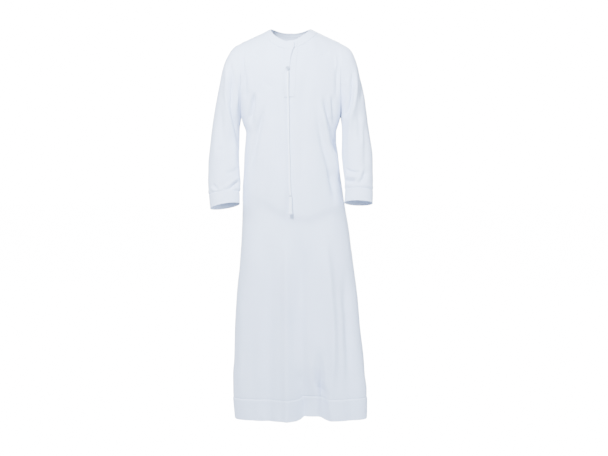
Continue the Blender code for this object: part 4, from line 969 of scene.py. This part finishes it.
sleeveCreases = {
    "right": (
        softFold(6, -5.4, (-218, -112), (-215, -150), (-211, -190), (-214, -240), (-213, -280),
                 (-208, -316)),
        softFold(6.5, -6.0, (-213, -270), (-208, -316), (-197, -352), (-190, -406), (-186, -470)),
        softFold(7, 4.2, (-233, -112), (-229, -188), (-235, -242), (-231, -279), (-222, -315),
                 (-213, -352), (-209, -400)),
        softFold(6, 3.0, (-194, -136), (-191, -206), (-195, -260), (-198, -312)),
        softFold(9, -3.0, (-253, -242), (-251, -315), (-247, -406), (-243, -497), (-243, -550)),
        softFold(9, 1.8, (-274, -320), (-277, -400), (-278, -480)),
        softFold(9, -1.6, (-270, -428), (-254, -440), (-232, -436)),
        softFold(9, 2.4, (-208, -395), (-206, -460), (-206, -530)),
        softFold(5, -4.4, (-182, -548), (-198, -559), (-208, -568), (-217, -580), (-232, -585),
                 (-252, -584)),
        softFold(7, 2.4, (-184, -534), (-202, -546), (-218, -560), (-234, -570), (-252, -570)),
        softFold(4.5, -3.4, (-286, -560), (-274, -573), (-262, -586)),
        softFold(4, 1.6, (-290, -572), (-278, -586), (-268, -594)),
        softFold(7, -1.8, (-192, -505), (-214, -520), (-240, -522)),
    ),
    "left": (
        softFold(8, 4.2, (236, -118), (236, -180), (234, -232), (229, -280), (217, -333), (214, -406),
                 (208, -500)),
        softFold(6, -4.2, (254, -140), (258, -200), (258, -270)),
        softFold(5.5, -5.4, (224, -150), (224, -210), (221, -245), (214, -278), (202, -310), (191, -336)),
        softFold(7, 2.2, (206, -170), (205, -230), (200, -275)),
        softFold(11, -3.4, (246, -282), (250, -350), (252, -424)),
        softFold(10, -2.8, (266, -330), (272, -420), (270, -520)),
        softFold(7, 1.6, (258, -300), (262, -370), (262, -440)),
        softFold(5, -4.0, (196, -505), (214, -516), (236, -520), (256, -516)),
        softFold(6, 2.2, (196, -526), (216, -534), (240, -538)),
        softFold(5, -4.0, (190, -544), (206, -552), (222, -552), (234, -545)),
        softFold(8, -3.4, (272, -508), (266, -540), (244, -566)),
        softFold(6, 1.8, (262, -500), (254, -534), (236, -556)),
        softFold(5, -3.4, (190, -568), (200, -575), (212, -578)),
    ),
}
sleeveDetail = {"around": 56, "rings": 128, "cuffRows": 22, "seed": {"right": 21.0, "left": 31.0}}


def sleeveRings(table, steps, count):
    rows = np.array(table, float)
    index = np.arange(len(rows))
    turn = np.linspace(0, np.pi, 300)
    rings = []
    for step in steps:
        ix, iz, ox, oz, y, front, back, tilt, vee = (float(smooth(step, index, rows[:, k])) for k in range(9))
        run = (1 - np.cos(turn)) / 2
        halves = []
        for depth, lift in ((-front, tilt), (back, -tilt)):
            swell = vee * bulge(turn) + (1 - vee) * np.sin(turn) ** 0.93
            height = iz + (oz - iz) * run + lift * swell
            line = np.stack([ix + (ox - ix) * run, y + depth * swell, height], -1)
            halves.append(even(line, count))
        rings.append(np.concatenate([halves[0], halves[1][-2:0:-1]]))
    return np.array(rings)


def makeSleeve(name):
    table, detail = sleeveTable[name], sleeveDetail
    around, last = detail["around"], len(table) - 1
    steps = np.linspace(0, last, detail["rings"])
    rings = sleeveRings(table, steps, around)
    normal = ringNormals(rings)
    facing = np.clip(-normal[..., 1], 0, 1) ** 0.7
    fade = ease(steps, 0, 3) * (1 - ease(steps, last - 2, last))
    height = foldHeight(sleeveFolds[name], rings[..., 0], rings[..., 2]) * facing * fade[:, None]
    creases = sleeveCreases[name]
    x, z, turned = rings[..., 0], rings[..., 2], normal[..., 1] * 1.8
    fine = creaseDepth["sleeve"] * foldHeight(creases, x, z) * np.clip(-turned, 0, 1)
    # the back of the sleeve has the same kind of creases, set a little lower
    lower = [dict(c, path=tuple((a, b - 26) for a, b in c["path"])) for c in creases]
    fine += 0.9 * creaseDepth["sleeve"] * foldHeight(lower, x, z) * np.clip(turned, 0, 1)
    walked = walkedAlong(rings)
    toEnd = walked[-1:] - walked
    calm = ease(walked, 0, 24) * ease(toEnd, 0, 12)
    fine = fine * calm
    fine += softNoise(rings, (55, 55, 100), 2.4, detail["seed"][name]) * calm
    fine += softNoise(rings, (21, 21, 38), 0.9, detail["seed"][name] + 7) * calm
    fine -= 0.8 * np.exp(-((walked / 2.2) ** 2)) + 1.2 * np.exp(-((toEnd / 2.4) ** 2))
    fine += 1.7 * np.exp(-(((toEnd - 10) / 7) ** 2))
    rings = rings + normal * (height + fine)[..., None]
    normal = ringNormals(rings)
    piece = clothPiece("sleeve" + name.capitalize(), rings, rings - normal * formSizes["wall"],
                       whiteCloth, closed=True)
    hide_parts("sleeve_" + name)
    cuff = sleeveRings(cuffTable[name], np.linspace(0, 3, detail["cuffRows"] + 1), around)
    cuffNormal = ringNormals(cuff)
    walked = walkedAlong(cuff)
    toEnd = walked[-1:] - walked
    lift = formSizes["bandLift"] * ease(walked, 0, 2.2) - 0.5 * np.exp(-(((toEnd - 9) / 1.4) ** 2))
    lift = lift - 0.5 * np.exp(-(((toEnd - 2.8) / 1.2) ** 2))
    lift = lift + softNoise(cuff, (30, 30, 30), 1.0, 5) * ease(toEnd, 0, 10)
    cuffOuter = cuff + cuffNormal * lift[..., None]
    cuffInner = cuffOuter - cuffNormal * formSizes["bandWall"]
    cuffPiece = clothPiece("cuff" + name.capitalize(), cuffOuter, cuffInner, whiteCloth, closed=True)
    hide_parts("cuff_" + name)
    lines = []
    for distance in (9.0, 2.8):
        row = int(np.argmin(np.abs(toEnd[:, 0] - distance)))
        lines.append(np.concatenate([cuffOuter[row], cuffOuter[row, :1]]))
    return piece, cuffPiece, lines


sleeves = {name: makeSleeve(name) for name in ("right", "left")}
print("sleeves and cuffs made")


# Strips of the front slit

stripShape = {
    "heights": (-66, -81, -103, -132, -164, -195, -225, -250),
    "overLeft": (-24, -24, -24, -24, -24, -24, -24, -23),
    "overRight": (13, 7, 1, -2.5, -5, -6, -6, -3),
    "overOpen": (4.4, 4.2, 3.4, 1.7, 0.7, 0.2, 0, 0),
    "underLeft": (-5, -5, -6, -8, -10, -11, -11, -10),
    "underRight": (24, 24, 23, 21, 19, 18, 17, 15),
    "wall": 1.3, "gap": 0.7, "rows": 90, "columns": 18, "top": -49.0,
}


def gridSurface(grids):
    points, faces = [], []
    for grid in grids:
        rows, columns = grid.shape[:2]
        first = len(points)
        points.extend(map(tuple, grid.reshape(-1, 3)))
        for i in range(rows - 1):
            for j in range(columns - 1):
                a = first + i * columns + j
                faces.append((a, a + 1, a + columns + 1, a + columns))
    return BVHTree.FromPolygons(points, faces)


frontPatch = panels["front"]["grid"][-150:, 30:-30]
frontSurface = gridSurface([frontPatch, bandFront])


def frontY(surface, x, z):
    hit = surface.ray_cast(Vector((x, -600, z)), Vector((0, 1, 0)))[0]
    return hit.y if hit else frontY(surface, x, z - 2)


def makeStrip(name, left, right, lift, node, grooves):
    shape = stripShape
    knots = [-h for h in shape["heights"]]
    outer, inner = [], []
    for z in np.linspace(shape["top"], shape["heights"][-1], shape["rows"] + 1):
        low, high = float(smooth(-z, knots, left)), float(smooth(-z, knots, right))
        outerRow, innerRow = [], []
        for k in range(shape["columns"] + 1):
            share = (1 - math.cos(math.pi * k / shape["columns"])) / 2
            x = low + (high - low) * share
            y = frontY(frontSurface, x, z) - lift(x, z)
            edge = min(x - low, high - x, z - shape["heights"][-1])
            thick = shape["wall"] * (0.35 + 0.65 * float(ease(edge, 0, 1.4)))
            for at, depth, reach in grooves:
                groove = depth * math.exp(-(((high - x - at) / 0.9) ** 2))
                thick -= groove * float(ease(-z, reach, reach + 12))
            innerRow.append((x, y, z))
            outerRow.append((x, y - thick, z))
        outer.append(outerRow)
        inner.append(innerRow)
    outer, inner = np.array(outer), np.array(inner)
    piece = clothPiece(name, outer, inner, whiteCloth)
    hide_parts(node)
    return piece, outer


def makeStrips():
    shape = stripShape
    knots = [-h for h in shape["heights"]]

    def overLift(x, z):
        edge, below = (float(smooth(-z, knots, shape[k])) for k in ("overRight", "underLeft"))
        stack = (shape["wall"] + shape["gap"]) * float(ease(x, below - 15, below - 5))
        return 0.3 + stack + float(smooth(-z, knots, shape["overOpen"])) * float(ease(x, edge - 18, edge))

    under, underGrid = makeStrip("stripUnder", shape["underLeft"], shape["underRight"], lambda x, z: 0.3,
                                 "placket_under", ((2.2, 0.3, 40),))
    over, overGrid = makeStrip("stripOver", shape["overLeft"], shape["overRight"], overLift,
                               "placket_over", ((11.0, 0.4, 150), (1.8, 0.3, 120)))
    return under, over, underGrid, overGrid


stripUnder, stripOver, underGrid, overGrid = makeStrips()
stripSurface = gridSurface([frontPatch, bandFront, underGrid, overGrid])
print("front strips made")


# Knot button and its loop

buttonShape = {"x": -9.5, "z": -147, "y": -115.4, "knot": 1.75, "cord": 1.6, "loop": 7.4, "loopCord": 1.1}


def makeButton():
    shape = buttonShape
    path = []
    for k in range(96):
        turn = 2 * math.pi * k / 96
        path.append((
            shape["x"] + shape["knot"] * (math.sin(turn) + 2 * math.sin(2 * turn)) * 0.72,
            shape["y"] - shape["knot"] * math.sin(3 * turn) * 0.75,
            shape["z"] + shape["knot"] * (math.cos(turn) - 2 * math.cos(2 * turn)) * 0.72,
        ))
    # the knot and the loop take the grey thread, which also carries painted shade for the shadows inside the
    # loop
    knot = joinedPiece("knotButton", [tubeMesh(path, shape["cord"], 10, closed=True)], greyThreadAndShade)
    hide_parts("neck_button")
    loop = []
    for k in range(48):
        turn = 2 * math.pi * k / 48
        x, z = shape["x"] + shape["loop"] * math.cos(turn), shape["z"] + shape["loop"] * math.sin(turn)
        loop.append((x, frontY(stripSurface, x, z) - shape["loopCord"] - 0.1, z))
    loop = np.array(loop)
    for _ in range(6):
        loop[:, 1] = (np.roll(loop[:, 1], 1) + loop[:, 1] * 2 + np.roll(loop[:, 1], -1)) / 4
    ring = joinedPiece("buttonLoop", [tubeMesh(loop, shape["loopCord"], 10, closed=True)], greyThreadAndShade)
    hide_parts("button_loop")
    return knot, ring


makeButton()
print("button made")


# Stitch rows

stitchLook = {"spacing": 3.2, "length": 2.5, "radius": 0.34, "lift": 0.12}


def stitchTree():
    tree, given, out = treeWith("stitchRows", (
        ("Spacing", "NodeSocketFloat", 0.003), ("Length", "NodeSocketFloat", 0.0024),
        ("Radius", "NodeSocketFloat", 0.0003), ("Material", "NodeSocketMaterial", None)))
    asked = given.outputs
    line = addNode(tree, "GeometryNodeMeshToCurve", {0: asked["Geometry"]})
    spots = addNode(tree, "GeometryNodeCurveToPoints", {
        "Curve": line.outputs[0], "Length": asked["Spacing"]}, mode="LENGTH")
    bead = addNode(tree, "GeometryNodeMeshUVSphere", {"Segments": 6, "Rings": 4, "Radius": 1})
    size = addNode(tree, "ShaderNodeCombineXYZ", {
        0: asked["Radius"], 1: asked["Radius"], 2: treeMath(tree, "MULTIPLY", asked["Length"], 0.5)})
    put = addNode(tree, "GeometryNodeInstanceOnPoints", {
        "Points": spots.outputs["Points"], "Instance": bead.outputs["Mesh"],
        "Rotation": spots.outputs["Rotation"], "Scale": size.outputs[0]})
    real = addNode(tree, "GeometryNodeRealizeInstances", {0: put.outputs[0]})
    dressed = addNode(tree, "GeometryNodeSetMaterial", {0: real.outputs[0], "Material": asked["Material"]})
    tree.links.new(dressed.outputs[0], out.inputs[0])
    return tree


stitches = stitchTree()


def sewRows(name, lines, thread=whiteThread):
    points, edges = [], []
    for line in lines:
        first = len(points)
        points.extend((np.array(line) * mm).tolist())
        edges.extend((first + k, first + k + 1) for k in range(len(line) - 1))
    mesh = bpy.data.meshes.new(name)
    mesh.from_pydata(points, edges, [])
    base = bpy.data.objects.new(name + "Base", mesh)
    bpy.context.scene.collection.objects.link(base)
    piece = plainFromTree(name, base, stitches, {
        "Spacing": stitchLook["spacing"] * mm, "Length": stitchLook["length"] * mm,
        "Radius": stitchLook["radius"] * mm, "Material": thread}, thread)
    return piece


tackShape = {"left": -6, "right": 8, "top": -247.2, "bottom": -249.2, "rows": 5}


def sewAll():
    hemLines = []
    for side in ("front", "back"):
        levels = panels[side]["levels"]
        row = int(np.argmin(np.abs(levels - formSizes["hemTop"])))
        hemLines.append(panels[side]["grid"][row] + panels[side]["normal"][row] * stitchLook["lift"])
    rows = {
        "hemStitches": hemLines,
        "neckStitches": bandLines,
        "cuffRightStitches": sleeves["right"][2],
        "cuffLeftStitches": sleeves["left"][2],
    }
    strip = []
    for gridPoints, distance, start in ((overGrid, 11.0, -168), (overGrid, 1.8, -130), (underGrid, 2.2, -60)):
        line = []
        for row in gridPoints:
            x = row[-1][0] - distance
            if row[0][2] > start:
                continue
            line.append((x, np.interp(x, row[:, 0], row[:, 1]), row[0][2]))
        strip.append(line)
    rows["stripStitches"] = strip
    for name, lines in rows.items():
        sewRows(name, lines)
    # the bar across the foot of the slit
    bar = []
    for z in np.linspace(tackShape["top"], tackShape["bottom"], tackShape["rows"]):
        across = np.linspace(tackShape["left"], tackShape["right"], 7)
        bar.append([(x, frontY(stripSurface, x, z) - stitchLook["radius"], z) for x in across])
    sewRows("tackStitches", bar, greyThreadAndShade)


sewAll()
print("stitches made")


# Floor and light

stageLook = {"floorZ": -1475, "colour": (0.5, 0.52, 0.56), "glow": 16.0}
skyLook = {"light": (0.78, 0.88, 1.0), "lightStrength": 0.32, "seen": (1, 1, 1), "seenStrength": 18.0}
lights = (
    # name, place, aim, size, watts, colour
    ("keyLight", (-0.75, -2.35, 1.3), (0, 0, 0.8), 0.45, 485, (0.815, 0.885, 1)),
    ("rightSideLight", (2.3, -1.7, -0.1), (0, 0, -0.7), 0.9, 110, (0.77, 0.865, 1)),
    ("leftSideLight", (-2.6, -0.5, 0.4), (0, 0, -0.4), 0.9, 35, (0.79, 0.88, 1)),
    ("backLight", (0.9, 3.4, 1.6), (0, 0, -0.6), 1.4, 560, (0.9, 0.95, 1)),
)


def makeStage():
    floorZ = stageLook["floorZ"] * mm
    mesh = bpy.data.meshes.new("floor")
    corners = [(x, y, floorZ) for x, y in ((-20, -20), (20, -20), (20, 20), (-20, 20))]
    mesh.from_pydata(corners, [], [(0, 1, 2, 3)])
    floor = bpy.data.objects.new("floor", mesh)
    bpy.context.scene.collection.objects.link(floor)
    material = bpy.data.materials.new("paleFloor")
    material.use_nodes = True
    tree = material.node_tree
    shader = tree.nodes["Principled BSDF"]
    shader.inputs["Base Color"].default_value = (*stageLook["colour"], 1)
    shader.inputs["Roughness"].default_value = 0.9
    shader.inputs["Emission Color"].default_value = (1, 1, 1, 1)
    ray = addNode(tree, "ShaderNodeLightPath")
    glow = treeMath(tree, "MULTIPLY", ray.outputs["Is Camera Ray"], stageLook["glow"])
    tree.links.new(glow, shader.inputs["Emission Strength"])
    mesh.materials.append(material)


def makeLights():
    world = bpy.data.worlds.new("studio")
    bpy.context.scene.world = world
    world.use_nodes = True
    tree = world.node_tree
    soft = tree.nodes["Background"]
    soft.inputs["Color"].default_value = (*skyLook["light"], 1)
    soft.inputs["Strength"].default_value = skyLook["lightStrength"]
    seen = addNode(tree, "ShaderNodeBackground", {
        "Color": (*skyLook["seen"], 1), "Strength": skyLook["seenStrength"]})
    ray = addNode(tree, "ShaderNodeLightPath")
    mixed = addNode(tree, "ShaderNodeMixShader", {
        0: ray.outputs["Is Camera Ray"], 1: soft.outputs[0], 2: seen.outputs[0]})
    tree.links.new(mixed.outputs[0], tree.nodes["World Output"].inputs["Surface"])
    for name, place, aim, size, watts, colour in lights:
        data = bpy.data.lights.new(name, "AREA")
        data.shape, data.size, data.energy, data.color = "DISK", size, watts, colour
        light = bpy.data.objects.new(name, data)
        light.visible_camera = False
        bpy.context.scene.collection.objects.link(light)
        light.location = place
        light.rotation_euler = (Vector(aim) - Vector(place)).to_track_quat("-Z", "Y").to_euler()


makeStage()
makeLights()
print("floor and light made")
